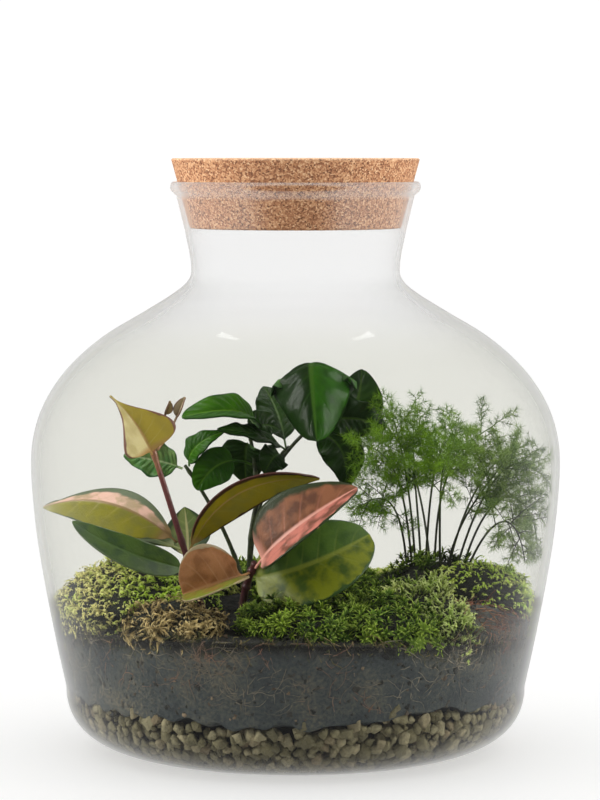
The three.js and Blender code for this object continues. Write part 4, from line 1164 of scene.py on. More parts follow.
def plant(cushion, seed):
    """Points, triangles, tints and tips of all the shoots of a cushion."""
    name, kind = cushion[0], cushion[4]
    rng = np.random.default_rng(seed)
    spots, ways = shoot_spots(cushion, SPACING[kind], rng)
    ways = ways / np.linalg.norm(ways, axis=1)[:, None] + rng.normal(0, 0.24, ways.shape)
    clump = np.abs(noise_at(spots, 17, seed + 9))  # near 0 between two clumps, which shows as a dark cleft
    kept = clump > CLEFT[kind]
    spots, ways, clump = spots[kept], ways[kept], clump[kept]
    count = len(spots)
    tufts = noise_at(spots, 7, seed) - 1.2 * (1 - clump / 0.25).clip(0, 1)
    spots = spots + ways * (1.3 * tufts)[:, None]
    sizes = SHOOT_SIZE[kind] * (1 + 0.3 * tufts).clip(0.5, 1.4)[:, None]
    sizes = sizes * rng.normal(1, 0.13, (count, 1)).clip(0.6, 1.5) * np.ones((1, 3))
    tint = 0.5 + 0.6 * noise_at(spots, 13, seed + 1) + 0.18 * rng.normal(size=count)
    if name == "moss_mound_left":  # green towards the plants, bleached at its crown
        tint += 0.5 * np.tanh((-82 - spots[:, 0]) / 9)
    if name == "moss_mound_right":
        tint -= 0.3
    picks = rng.integers(0, len(SHOOTS[kind]), count)
    turns = frames_of(ways, rng.uniform(0, 2 * math.pi, count))
    return stamped(SHOOTS[kind], picks, spots, turns, sizes, tint.clip(0, 1))


# %% Moss finishes
def moss_finish(name, roots_and_shade_colour, low, high, tips_colour, dark_to=0.6):
    """Dark at the root of each shoot, where it is old and in painted shade, then a green between two tones,
    paler at the tips.
    """
    material, tree, output = new_material(name)
    shade = add(tree, "Attribute", attribute_name="tint")
    tip = add(tree, "Attribute", attribute_name="tip")
    green = add(tree, "Mix", {"Factor": shade.outputs["Fac"], 6: low, 7: high}, data_type="RGBA")
    # painted shade and age: each shoot darkens towards its root
    age_and_shade = add(tree, "MapRange", span(tip.outputs["Fac"], 0.15, dark_to))
    body = add(tree, "Mix", {"Factor": age_and_shade, 6: roots_and_shade_colour, 7: green}, data_type="RGBA")
    young = add(tree, "MapRange", span(tip.outputs["Fac"], 0.7, 1.0, 0.0, 0.7))
    colour = add(tree, "Mix", {"Factor": young, 6: body, 7: tips_colour}, data_type="RGBA")
    coat(tree, output, colour, 0.7, specular=0.2)
    return material


MOSS_FINISHES = {
    "star": moss_finish("haircap_moss", "#030501", "#3e640c", "#84a422", "#c4d666", 1.0),
    "feather": moss_finish("feather_moss", "#14180a", "#aace34", "#d4cc7c", "#e8e8a8", 0.68),
    "pale": moss_finish("pale_feather_moss", "#10150a", "#7a9832", "#b8c470", "#e0e4aa"),
    "dried": moss_finish("dried_moss", "#17120a", "#8a7448", "#c2aa70", "#e2d2a2", 0.8),
}
# painted shade: the body under the living shoots is near black, for the shade between them as well as old
# shoots
old_shoots_and_shade = mottled_material(
    "old_moss_and_painted_shade", 600.0, 4.0, [(0.35, "#070904"), (0.7, "#191e0e")], 0.95, bump=(0.8, 0.001)
)
MOSS_SLOTS = {"star": "moss_green", "feather": "moss_green", "pale": "moss_pale", "dried": "moss_dried"}

# %% Set the cushions
for i, cushion in enumerate(CUSHIONS):
    name, kind = cushion[0], cushion[4]
    if kind == "roots":
        continue
    points, faces = cushion_body(cushion)
    body = arrays_object(name + "_body", kept_inside(points), faces, smooth=True)
    body.data.materials.append(old_shoots_and_shade)
    finish_piece(body, MOSS_SLOTS[kind], name)
    points, faces, tints, tips = plant(cushion, 40 + i)
    shoots = arrays_object(name + "_shoots", kept_inside(points), faces, tint=tints, tip=tips)
    shoots.data.materials.append(MOSS_FINISHES[kind])
    finish_piece(shoots, MOSS_SLOTS[kind], name)

# %% [markdown]
# ### Old moss over the edge of the soil
# Where the moss meets the glass its old, brown ends hang over the soil and hide its edge. Each one is a
# short thin tube that wanders down the inside of the glass.

# %% Old moss
STRANDS = 1900
rng = np.random.default_rng(91)
strands = []
for _ in range(STRANDS):
    angle = rng.uniform(0, 2 * math.pi)
    edge = float(soil_top_at(108 * math.cos(angle), 108 * math.sin(angle)))
    height = edge + 2.5 * math.sin(9 * angle) * math.sin(5 * angle) + rng.normal(0, 1.6)
    heading, step = rng.normal(-1.57, 0.9), rng.gamma(3.0, 0.45)
    path = []
    for _ in range(5):
        out = float(glass_at(height)) - rng.uniform(0.45, 0.9)
        path.append((out * math.cos(angle), out * math.sin(angle), height))
        heading += rng.normal(0, 0.5)
        angle += step * math.cos(heading) / out
        height += step * math.sin(heading)
    part = tube(path, np.linspace(1, 0.45, 5) * rng.uniform(0.14, 0.36), 3)
    strands.append((part[0], part[1], np.full(len(part[0]), rng.random())))
points, faces, tint = joined(strands)
fringe = arrays_object("old_moss_fringe", kept_inside(points, 0.3), faces, tint=tint)
old_stops = [(0.0, "#0d0d08"), (0.4, "#22260f"), (0.65, "#454a1c"), (0.85, "#6c6238"), (1.0, "#96825a")]
fringe.data.materials.append(tinted_material("old_moss_strands", old_stops, 0.9))
finish_piece(fringe, "soil", "soil_bed")

# %% [markdown]
# ### The root mat
# At the right the moss has been turned up and shows its underside: brown rhizoids and fern roots
# matted together. It is a low body like the others under a felt of thin wandering tubes.

# %% Root mat
root_mat = next(c for c in CUSHIONS if c[4] == "roots")
points, faces = cushion_body(root_mat)
mat_body = arrays_object("root_mat_body", kept_inside(points), faces, smooth=True)
rng = np.random.default_rng(77)
spots, ways = shoot_spots(root_mat, 2.4, rng)
fibres = []
for spot, way in zip(spots, ways):
    way = way / np.linalg.norm(way)
    start = spot + way * rng.uniform(0.8, 2.8)
    across = np.cross(way, rng.normal(size=3))
    across /= np.linalg.norm(across)
    length = rng.uniform(4, 11)
    middle = start + across * length * 0.5 + way * rng.uniform(0, 1.6)
    end = start + across * length + rng.normal(0, 1.6, 3) - way * 0.8
    path = bezier_points([start, middle, end], np.linspace(0, 1, 5))
    part = tube(path, np.linspace(1, 0.5, 5) * rng.uniform(0.14, 0.34), 3)
    fibres.append((part[0], part[1], np.full(len(part[0]), rng.random())))
points, faces, tint = joined(fibres)
mat_fibres = arrays_object("root_mat_fibres", kept_inside(points), faces, tint=tint)
fibre_stops = [(0.0, "#1f1510"), (0.4, "#4c3022"), (0.72, "#7e4f36"), (0.88, "#ab7e5a"), (1.0, "#9c4a38")]
mat_fibres.data.materials.append(tinted_material("brown_rhizoids", fibre_stops, 0.75))
mat_body.data.materials.append(peat)
finish_piece(mat_body, "moss_dried", "root_mat_right")
finish_piece(mat_fibres, "moss_dried", "root_mat_right")

# %% [markdown]
# ## Leaves
# A leaf is a grid laid flat, width along X and length along Y, and each of its points is then moved to
# its place on the real leaf: along a curved midrib, out to the margin, lifted into a fold, curled or
# waved. The grid brings a UV map along, so that veins and margins can follow the leaf in its material,
# and a Solidify modifier gives the blade its thickness, with the underside in a material of its own.

# %% Place a point on a leaf
LEAF = dict(fold=15, cup=0, wave=0, waves=3, belly=0.85, full=0.75, thickness=0.8, petiole=0.05)
SEAT = GAP + 0.05
LEAST_HALF_WIDTH = 0.45


def bezier_tangent(route, share):
    step = 1e-4
    low, high = max(share - step, 0), min(share + step, 1)
    ends = bezier_points(route, [low, high])
    along = ends[1] - ends[0]
    return along / np.linalg.norm(along)


def leaf_point(leaf, share, side):
    """A point of the upper side and its normal, at a share of the length and -1 to 1 across."""
    midrib = leaf["midrib"]
    centre = bezier_points(midrib, [share])[0]
    along = bezier_tangent(midrib, share)
    sideways = np.cross(midrib[2] - midrib[0], leaf["facing"])
    sideways = sideways / np.linalg.norm(sideways)
    across = sideways - along * sideways.dot(along)
    across /= np.linalg.norm(across)
    normal = np.cross(across, along)
    in_blade = min(max((share - leaf["petiole"]) / (1 - leaf["petiole"]), 0), 1)
    swell = max(math.sin(math.pi * in_blade ** leaf["belly"]), 0) ** leaf["full"]
    half = max(LEAST_HALF_WIDTH, leaf["width"] / 2 * swell)
    out = abs(side)
    angle = math.radians(leaf["fold"]) * min(1, 3 * swell)
    phase = 2 * math.pi * leaf["waves"] * in_blade + (1.3 if side < 0 else 0)
    ripple = leaf["wave"] * swell * out**2 * math.sin(phase)
    lift = half * out * math.sin(angle) + leaf["cup"] * swell * out**2 + ripple
    return centre + across * half * side * math.cos(angle) + normal * lift, normal, in_blade, swell


def seated_midrib(leaf, route, radius):
    """Gives a leaf its midrib, so that its petiole starts just clear of its stem."""
    foot = bezier_points(route, [leaf["at"]])[0]
    along = bezier_tangent(route, leaf["at"])
    bend, tip = np.array(leaf["bend"], float), np.array(leaf["tip"], float)
    out = bend - foot
    out -= along * out.dot(along)
    out /= np.linalg.norm(out)
    reach = radius + SEAT
    for _ in range(4):
        leaf["midrib"] = np.array([foot + out * reach, bend, tip])
        nearest = 1e9
        for side in (-1, 1):
            point, normal = leaf_point(leaf, 0, side)[:2]
            for corner in (point, point - normal * leaf["thickness"]):
                apart = corner - foot
                nearest = min(nearest, np.linalg.norm(apart - along * apart.dot(along)))
        reach += radius + SEAT - nearest


# %% Shape a leaf from a grid
def leaf_object(name, leaf, upper, under, relief, strips=24, stations=72):
    """Relief is a function of the place in the blade and across it, in millimetres."""
    deselect()
    bpy.ops.mesh.primitive_grid_add(x_subdivisions=strips, y_subdivisions=stations, size=2)
    made = bpy.context.object
    made.name = made.data.name = name
    for vertex in made.data.vertices:
        side, share = vertex.co.x, (vertex.co.y + 1) / 2
        point, normal, in_blade, swell = leaf_point(leaf, share, side)
        vertex.co = Vector((point + normal * relief(in_blade, side) * swell) * MM)
    made.data.materials.append(upper)
    made.data.materials.append(under)
    wall = made.modifiers.new("blade", "SOLIDIFY")
    wall.thickness = leaf["thickness"] * MM
    wall.offset = -1
    wall.material_offset = 1
    bpy.ops.object.modifier_apply(modifier=wall.name)
    made.data.shade_smooth()
    return made


# %% [markdown]
# ### The skin of a leaf
# A living leaf is never one green: the halves catch the light differently, and that light and shade is
# painted into a tone of each half together with its own colour; side veins and the midrib stand out in
# another tone, patches are mottled and the margin is edged. All of that follows the UV map, whose U
# runs across the blade and whose V runs along it.

# %% Leaf skin
def leaf_skin(name, halves, rib, vein, edge, mottle, veins=9, slant=0.16, vein_strength=0.5, **more):
    """Halves are the left and right tones, with painted light and shade; edge and mottle are (colour, how
    far in or how much).
    """
    roughness, bumpy, shine = more.get("roughness", 0.4), more.get("bumpy", 0.3), more.get("shine", 0.3)
    neck_end, grain = more.get("neck_end", 0.12), more.get("grain", 900.0)
    material, tree, output = new_material(name)
    place = add(tree, "TexCoord")
    spread = add(tree, "SeparateXYZ", {0: place.outputs["UV"]})
    u, v = spread.outputs["X"], spread.outputs["Y"]
    off = add(tree, "Math", {0: u, 1: 0.5}, operation="SUBTRACT")
    side = add(tree, "Math", {0: off}, operation="ABSOLUTE")
    across = add(tree, "Math", {0: side, 1: 2.0}, operation="MULTIPLY")
    # painted light and shade: each half of the blade has its own tone, as well as its own colour
    right = add(tree, "MapRange", span(u, 0.47, 0.53))
    tone = add(tree, "Mix", {"Factor": right, 6: halves[0], 7: halves[1]}, data_type="RGBA")
    blotch = add(tree, "TexNoise", {"Vector": place.outputs["Object"], "Scale": 150.0, "Detail": 5.0})
    patch = add(tree, "MapRange", span(blotch, 0.42, 0.62, 0.0, mottle[1]))
    mottled = add(tree, "Mix", {"Factor": patch, 6: tone, 7: mottle[0]}, data_type="RGBA")
    # side veins: V runs ahead of the vein towards the margin, and its repeats give the lines
    ahead = add(tree, "Math", {0: across, 1: -slant, 2: v}, operation="MULTIPLY_ADD")
    rows = add(tree, "Math", {0: ahead, 1: float(veins)}, operation="MULTIPLY")
    row = add(tree, "Math", {0: rows, 1: 0.5}, operation="PINGPONG")
    line = add(tree, "MapRange", span(row, 0.0, 0.09, 1.0, 0.0))
    fading = add(tree, "MapRange", span(across, 0.1, 0.95, vein_strength, 0.0))
    veiny = add(tree, "Math", {0: line, 1: fading}, operation="MULTIPLY")
    veined = add(tree, "Mix", {"Factor": veiny, 6: mottled, 7: vein}, data_type="RGBA")
    ragged = add(tree, "Math", {0: blotch, 1: 0.35, 2: across}, operation="MULTIPLY_ADD")
    margin = add(tree, "MapRange", span(ragged, 1.17 - edge[1] * 1.3, 1.17 - edge[1] * 0.7))
    if len(edge) > 2:  # the margin is wider on the right half
        wide = add(tree, "MapRange", span(ragged, 1.17 - edge[2] * 1.15, 1.17 - edge[2] * 0.85))
        margin = add(tree, "Mix", {0: right, 2: margin, 3: wide})
    edged = add(tree, "Mix", {"Factor": margin, 6: veined, 7: edge[0]}, data_type="RGBA")
    middle = add(tree, "MapRange", span(across, 0.03, 0.08, 0.85, 0.0))
    ribbed = add(tree, "Mix", {"Factor": middle, 6: edged, 7: rib}, data_type="RGBA")
    neck = add(tree, "MapRange", span(v, neck_end * 0.6, neck_end, 1.0, 0.0))
    coloured = add(tree, "Mix", {"Factor": neck, 6: ribbed, 7: rib}, data_type="RGBA")
    skin = add(tree, "TexNoise", {"Vector": place.outputs["Object"], "Scale": grain, "Detail": 2.0})
    relief = add(tree, "Math", {0: veiny, 1: -1.4, 2: skin}, operation="MULTIPLY_ADD")
    bump = add(tree, "Bump", {"Strength": bumpy, "Distance": 0.0004, "Height": relief})
    coat(tree, output, coloured, roughness, bump, shine)
    return material


# %% [markdown]
# ## The red-stemmed peperomia
# Two fleshy stems, dark red below and orange above, carry thick oval leaves. Their upper sides run
# from olive to salmon, with dark green mottling towards the margin, so every leaf has its own skin.
# Two tiny young leaves, still curled, stand beside the top leaf at the tip of the tall stem.

# %% Peperomia stems
STEMS = {
    "peperomia_stem_tall": (1.5, [(-39, -46, 60), (-48, -46, 89), (-57, -45, 118), (-66, -44, 146)]),
    "peperomia_stem_short": (1.9, [(-25, -54, 60), (-25, -53, 76), (-23, -55, 86), (-18, -60, 95)]),
}
red_bark, tree, output = new_material("red_peperomia_stem")
place = add(tree, "TexCoord")
height = add(tree, "SeparateXYZ", {0: place.outputs["Object"]})
climb = add(tree, "MapRange", span(height.outputs["Z"], 70 * MM, 150 * MM))
streaks = add(tree, "TexNoise", {"Vector": place.outputs["Object"], "Scale": 500.0, "Detail": 3.0})
streaked = add(tree, "Math", {0: streaks, 1: 0.25, 2: climb}, operation="MULTIPLY_ADD")
stem_colour = add(
    tree,
    "ValToRGB",
    {"Fac": streaked},
    stops=[(0.1, "#2c1218"), (0.6, "#552226"), (0.92, "#6a3430"), (1.0, "#8a5c40")],
)
coat(tree, output, stem_colour, 0.38)
for name, (radius, route) in STEMS.items():
    shares = np.linspace(0, 1, 41)
    joints = [0.4, 0.5, 0.97] if "tall" in name else [0.6, 0.86, 0.97]
    swelling = sum(0.28 * np.exp(-(((shares - joint) / 0.025) ** 2)) for joint in joints)
    points, faces, _ = tube(bezier_points(route, shares), radius * (0.97 - 0.12 * shares + swelling), 16)
    stem = arrays_object(name + "_grown", points, faces, smooth=True)
    stem.data.materials.append(red_bark)
    finish_piece(stem, "red_stem", name)

# %% Peperomia leaves: their places
TALL, SHORT = "peperomia_stem_tall", "peperomia_stem_short"
PEPEROMIA_LEAVES = {
    "top": dict(
        stem=TALL, at=0.97, bend=(-72, -50, 160), tip=(-85, -50, 171), facing=(0.28, -0.88, 0.4),
        width=31, fold=22, belly=0.42, full=1.8,
    ),
    "young_left": dict(
        stem=TALL, at=0.99, bend=(-62, -40, 157), tip=(-57.5, -46, 168), facing=(0.5, -0.8, -0.2),
        width=5, fold=50, petiole=0.72, thickness=0.6, node="peperomia_leaf_top",
    ),
    "young_right": dict(
        stem=TALL, at=0.985, bend=(-58, -40, 152), tip=(-51, -46, 170), facing=(-0.5, -0.8, 0.2),
        width=6, fold=45, petiole=0.72, thickness=0.6, node="peperomia_leaf_top",
    ),
    "upper_left": dict(
        stem=TALL, at=0.5, bend=(-85, -46, 131), tip=(-119, -14, 115.5), facing=(-0.15, -0.85, 0.5),
        width=28, fold=-35,
    ),
    "lower_left": dict(
        stem=TALL, at=0.36, bend=(-78, -66, 98), tip=(-102, -58, 114), facing=(-0.1, -0.85, 0.5),
        width=15, fold=10, belly=0.7, full=0.6,
    ),
    "round_back": dict(
        stem=TALL, at=0.4, bend=(-50, -25, 102), tip=(-52, -22, 116.5), facing=(0, -0.9, 0.4),
        width=22, fold=12, petiole=0.1,
    ),
    "back_left": dict(
        stem=TALL, at=0.46, bend=(-74, -26, 106), tip=(-82, 2, 100), facing=(0.1, -0.5, 0.85),
        width=16, fold=10, petiole=0.1,
    ),
    "cupped": dict(
        stem=SHORT, at=0.86, bend=(-28, -84, 91), tip=(-51, -78, 83), facing=(0.45, -0.45, 0.75),
        width=40, petiole=0.2, fold=50, belly=1.5, full=0.5,
    ),
    "olive_arch": dict(
        stem=TALL, at=0.44, bend=(-34, -60, 138), tip=(11, -46, 132.5), facing=(-0.35, 0.75, 0.55),
        width=22, fold=-20,
    ),
    "pink": dict(
        stem=SHORT, at=0.97, bend=(-8, -78, 111), tip=(28, -72, 131), facing=(-0.3, -0.62, 0.72),
        width=38, petiole=0.13, fold=24, belly=0.75, full=0.6,
    ),
    "broad_right": dict(
        stem=SHORT, at=0.8, bend=(5, -78, 93), tip=(34, -58, 108), facing=(-0.25, -0.9, 0.4),
        width=40, petiole=0.02, fold=8, belly=0.9, full=0.45,
    ),
}

# %% Peperomia leaves: their skins
PEPEROMIA_SKINS = {
    # left and right tone, midrib, side veins, margin and how far in it reaches, mottling and how much
    "young_left": (("#8a7a4a", "#a08a5c"), "#8f6a48", "#a08a5c", ("#6e5240", 0.1), ("#7a6a40", 0.5)),
    "young_right": (("#a8987a", "#b8a88c"), "#9c7a5c", "#a89878", ("#7a5c4c", 0.1), ("#8a7a54", 0.5)),
    "top": (("#c2b47c", "#ad9a34"), "#a8864a", "#c4b870", ("#7c5648", 0.06), ("#948434", 0.5)),
    "upper_left": (("#8f8a22", "#d8b0a0"), "#8a7048", "#a89a5c", ("#59664c", 0.06, 0.36), ("#77753c", 0.6)),
    "lower_left": (("#3a5412", "#405a16"), "#48652a", "#3f5c26", ("#5a6a4a", 0.05), ("#1e3c16", 0.85)),
    "round_back": (("#77854a", "#5f7238"), "#c6c088", "#a9ad6c", ("#33472a", 0.35), ("#4c5f34", 0.6)),
    "back_left": (("#5c7036", "#50652f"), "#9aa36a", "#7a8a4a", ("#35491f", 0.15), ("#3f5526", 0.5)),
    "cupped": (("#6f7a20", "#a8744c"), "#b48658", "#d0a47c", ("#9a8a6c", 0.05), ("#80522f", 0.8)),
    "olive_arch": (("#4a2f1c", "#483a16"), "#7a6a30", "#6a5a2c", ("#4a2620", 0.2), ("#3c2a1c", 0.5)),
    "pink": (("#8c5a3e", "#c2766a"), "#dc9c8e", "#b87460", ("#2c371c", 0.22, 0.05), ("#583626", 0.85)),
    "broad_right": (("#44601a", "#767e0e"), "#7a8430", "#6c7a2c", ("#2f4a1a", 0.06), ("#2c4a12", 0.85)),
}
# the olive arch's dark rim is painted shade: the shaded upper side of its far half, seen over its edge
UNDERSIDES = {"olive_arch": ("#8a7c06", "#94860a", "#35190b"), "cupped": ("#66741c", "#768228", "#5c4428")}


def fleshy_relief(in_blade, side):
    """A groove along the midrib, a padded blade and a thin rounded margin."""
    groove = -0.35 * math.exp(-((side / 0.05) ** 2))
    veins = -0.12 * max(0, math.cos(2 * math.pi * 7 * (in_blade - 0.18 * abs(side)))) ** 6
    return groove + veins * (1 - abs(side))


for key, shape in PEPEROMIA_LEAVES.items():
    leaf = {**LEAF, **shape}
    radius, route = STEMS[leaf["stem"]]
    seated_midrib(leaf, route, radius)
    halves, rib, vein, edge, mottle = PEPEROMIA_SKINS[key]
    upper = leaf_skin(
        f"peperomia_{key}_upper_side", halves, rib, vein, edge, mottle, veins=7, slant=0.18,
        vein_strength=0.35, neck_end=leaf["petiole"] + 0.1,
    )
    # on the olive arch the dark rim of the underside reaches far in on one half, as painted shade
    first, second, rim = UNDERSIDES.get(key, ("#8a8a48", "#93934e", "#6f5038"))
    under = leaf_skin(
        f"peperomia_{key}_underside", (first, second), "#a08450", "#9c9a50",
        (rim, 0.08, 0.24 if key == "olive_arch" else 0.08), ("#6c6c24", 0.5),
        veins=7, slant=0.18, vein_strength=0.25, roughness=0.5,
    )
    blade = leaf_object(f"peperomia_leaf_{key}_grown", leaf, upper, under, fleshy_relief)
    node = leaf.get("node", f"peperomia_leaf_{key}")
    finish_piece(blade, "pink_leaf" if key in ("cupped", "pink") else "peperomia_leaf", node)

# %% [markdown]
# ## The young coffee plant
# Thin dark stems fork low down and carry thin, glossy, quilted leaves: the blade bulges between its
# side veins and its margin waves. The relief is modelled, because it is what breaks up the gloss.

# %% Coffee stems
COFFEE_ROUTES = {
    "left": [(-22, 12, 60), (-26, 12, 90), (-40, 11, 114), (-53, 11, 133)],
    "middle": [(-22, 12, 60), (-24, 14, 104), (-20, 20, 124), (-3, 22, 141)],
    "right": [(-22, 12, 60), (-24, 15, 108), (-14, 22, 136), (14, 22, 155)],
    "crown": [(-19, 17, 117), (-19, 20, 128), (-20, 22, 138), (-22, 20, 146)],
}
COFFEE_STEM_RADIUS = 1.1
bark = mottled_material("young_coffee_bark", 400.0, 3.0, [(0.35, "#26301a"), (0.7, "#4a5230")], 0.5)
parts = []
for route in COFFEE_ROUTES.values():
    shares = np.linspace(0, 1, 36)
    knots = sum(0.35 * np.exp(-(((shares - knot) / 0.02) ** 2)) for knot in (0.35, 0.68, 0.94))
    radii = COFFEE_STEM_RADIUS * (1.0 - 0.25 * shares + knots * 0.7)
    parts.append(tube(bezier_points(route, shares), radii, 12))
points, faces, _ = joined(parts)
coffee_stems = arrays_object("coffee_stems_grown", points, faces, smooth=True)
coffee_stems.data.materials.append(bark)
finish_piece(coffee_stems, "coffee_stem", "coffee_stems")

# %% Coffee leaves
COFFEE = dict(petiole=0.12, fold=8, wave=1.4, belly=0.8, full=0.7)
COFFEE_LEAVES = {
    # stem, place on it, bend, tip, facing, width, and what differs from the rest
    "crown_left": (
        "crown", 0.97, (-14, 4, 166), (-54, 1, 157), (-0.05, -0.45, 0.9), 25,
        dict(petiole=0.2, wave=0.4, full=0.5, fold=16),
    ),
    "low_left": (
        "left", 0.98, (-52, 4, 144), (-34, 2, 150), (-0.3, -0.7, 0.6), 14,
        dict(wave=0.7, belly=0.6),
    ),
    "far_left": ("left", 0.99, (-66, 12, 136), (-82, 8, 138), (0, -0.8, 0.6), 20),
    "round": (
        "crown", 0.5, (-37, 4, 141), (-47, 2, 122), (0.1, -0.95, 0.2), 18,
        dict(petiole=0.3, wave=0.6, full=0.5),
    ),
    "narrow": ("middle", 0.97, (-16, -6, 151), (-37, -6, 152), (0.1, -0.5, 0.86), 15, dict(wave=0.8)),
    "small_crown": ("crown", 0.98, (-17, 27, 155), (-7, 28, 148), (0, -0.8, 0.6), 17, dict(wave=0.7)),
    "drooping": (
        "right", 0.98, (4, 8, 214), (10, -17, 147), (-0.1, -0.6, 0.75), 41,
        dict(belly=1.0, full=0.5, fold=-4, cup=-12, wave=2.0, waves=4),
    ),
    "upright": (
        "right", 0.99, (32, 34, 150), (32, 40, 177), (0, -0.95, 0.3), 30,
        dict(belly=0.75, full=0.6),
    ),
    "right": ("right", 0.95, (27, 8, 160), (43, 14, 150), (0.1, -0.85, 0.5), 20, dict(full=0.55)),
    "hanging_right": ("right", 0.91, (27, 4, 147), (24, 6, 122), (0.2, -0.9, 0.3), 22),
    "hanging_left": ("crown", 0.88, (-25, 20, 142), (-24, 26, 123), (-0.2, -0.9, 0.3), 24, dict(full=0.55)),
    "hanging_middle": ("middle", 0.92, (-10, 8, 140), (-15, 8, 129), (0.2, -0.9, 0.2), 15),
    "back": ("middle", 0.98, (-8, 50, 158), (-16, 62, 167), (0, -0.6, 0.8), 20),
    "back_right": ("right", 0.93, (30, 46, 158), (34, 64, 148), (0.2, 0.2, 0.95), 20),
}
GLOSS = dict(veins=9, slant=0.2, vein_strength=0.4, roughness=0.3, shine=0.13, bumpy=0.45, grain=330.0)
COFFEE_TONES = {
    "coffee_leaf": (
        ("#142c04", "#1b3606"), "#3b561c", "#274710", ("#102606", 0.05), ("#0f2606", 0.6),
    ),
    # young leaves are a lighter green, and these are brighter still as painted light shining through the
    # thin crown leaves
    "young_backlit_coffee_leaf": (
        ("#285206", "#346208"), "#56801e", "#406f14", ("#1c4206", 0.05), ("#1c4406", 0.6),
    ),
    "opening_coffee_leaf": (
        ("#28560a", "#142c06"), "#3a5e1a", "#2c5214", ("#102606", 0.05), ("#0f2606", 0.5),
    ),
    "faded_coffee_leaf": (
        ("#567e3c", "#708e50"), "#a9bf8e", "#9ab587", ("#3f6a3a", 0.1), ("#3c6a38", 0.7),
    ),
}
dark_leaf, young_backlit_leaf, two_toned_leaf, pale_leaf = [
    leaf_skin(name + "_upper_side", *tones, **GLOSS) for name, tones in COFFEE_TONES.items()
]
coffee_under = leaf_skin(
    "coffee_leaf_underside", ("#46702f", "#4c7833"), "#8aa566", "#6a9048", ("#3a6228", 0.05),
    ("#3a6228", 0.4), veins=9, slant=0.2, vein_strength=0.5, roughness=0.5,
)
COFFEE_SKINS = {
    "crown_left": young_backlit_leaf,
    "low_left": young_backlit_leaf,
    "round": young_backlit_leaf,
    "far_left": pale_leaf,
    "drooping": two_toned_leaf,
}


def quilted_relief(in_blade, side):
    """Bulges between the side veins and a groove along the midrib."""
    bulge = abs(math.sin(math.pi * 9 * (in_blade - 0.2 * abs(side))))
    groove = -0.3 * math.exp(-((side / 0.06) ** 2))
    return 0.75 * bulge * (1 - abs(side) ** 3) * min(1, 4 * abs(side)) + groove


for key, (stem, at, bend, tip, facing, width, *shape) in COFFEE_LEAVES.items():
    leaf = {**LEAF, **COFFEE, "at": at, "bend": bend, "tip": tip, "facing": facing, "width": width}
    leaf.update(*shape)
    seated_midrib(leaf, COFFEE_ROUTES[stem], COFFEE_STEM_RADIUS)
    upper = COFFEE_SKINS.get(key, dark_leaf)
    blade = leaf_object(f"coffee_leaf_{key}_grown", leaf, upper, coffee_under, quilted_relief, 26, 80)
    finish_piece(blade, "coffee_leaf", f"coffee_leaf_{key}")

# %% [markdown]
# ## The asparagus fern
# What look like needles are fine green side shoots, some five millimetres long and a third of a
# millimetre thick. They stand in bunches on twigs, the twigs on sprays, and the sprays on thin stalks
# that rise bare out of the moss. One bunch is modelled and stamped along every twig.

# %% Fern routes
FRONDS = [
    [(54, 14, 76), (52, 6, 107), (47, -6, 126), (32, -24, 118)],
    [(57, 22, 76), (53, 10, 114), (50, -12, 143), (31, -30, 146)],
    [(58, 8, 76), (56, 8, 112), (52, 6, 142), (45, 0, 160)],
    [(61, 26, 76), (60, 26, 110), (55, 30, 138), (58, 36, 154)],
    [(62, 14, 76), (64, 6, 120), (65, 0, 144), (76, -8, 150)],
    [(66, 30, 76), (63, 40, 113), (57, 56, 141), (42, 68, 148)],
    [(67, 20, 76), (67, 16, 125), (74, 12, 140), (94, 6, 152)],
    [(72, 12, 76), (75, 6, 108), (90, 0, 122), (100, -6, 138)],
    [(73, 28, 76), (81, 34, 114), (96, 44, 134), (106, 44, 136)],
    [(75, 6, 76), (84, -8, 118), (99, -18, 146), (112, -18, 134)],
    [(79, 18, 76), (88, 14, 116), (106, 14, 132), (115, 8, 102)],
    [(79, 4, 76), (90, -14, 112), (103, -28, 122), (107, -32, 92)],
    [(69, 2, 76), (68, -12, 119), (66, -34, 145), (74, -50, 146)],
]
GOLDEN_ANGLE = math.pi * (3 - math.sqrt(5))
BARE_SHARE = 0.45
SPRAYS = 12
STALK_RADIUS = 0.6


def leaning(along, turn, lean):
    """A direction that leans away from another one by an angle, turned about it."""
    across = np.array([1.0, 0, 0]) if abs(along[2]) > 0.9 else np.array([0, 0, 1.0])
    first = np.cross(along, across)
    first /= np.linalg.norm(first)
    second = np.cross(along, first)
    out = first * math.cos(turn) + second * math.sin(turn)
    angle = math.radians(lean)
    return along * math.cos(angle) + out * math.sin(angle)


# %% Model a bunch of needles
def needle_bunch(seed, needles=8, length=5.2, radius=0.15):
    """Thin spikes from one place: each needle is a tetrahedron drawn out along it."""
    rng = np.random.default_rng(seed)
    parts = []
    for i in range(needles):
        way = leaning(np.array([0, 0, 1.0]), i * GOLDEN_ANGLE + rng.normal(0, 0.3), rng.uniform(24, 82))
        foot = np.array([0, 0, rng.uniform(-0.4, 0.8)])
        side = np.cross(way, rng.normal(size=3))
        side /= np.linalg.norm(side)
        other = np.cross(way, side)
        base = [foot + radius * (side * math.cos(a) + other * math.sin(a)) for a in (0, 2.09, 4.19)]
        tip = foot + way * length * rng.uniform(0.65, 1.15)
        faces = np.array([(0, 2, 1), (0, 1, 3), (1, 2, 3), (2, 0, 3)])
        parts.append((np.array(base + [tip]), faces, np.array([0.2, 0.2, 0.2, 1.0])))
    return joined(parts)


BUNCHES = [needle_bunch(seed) for seed in range(4)]

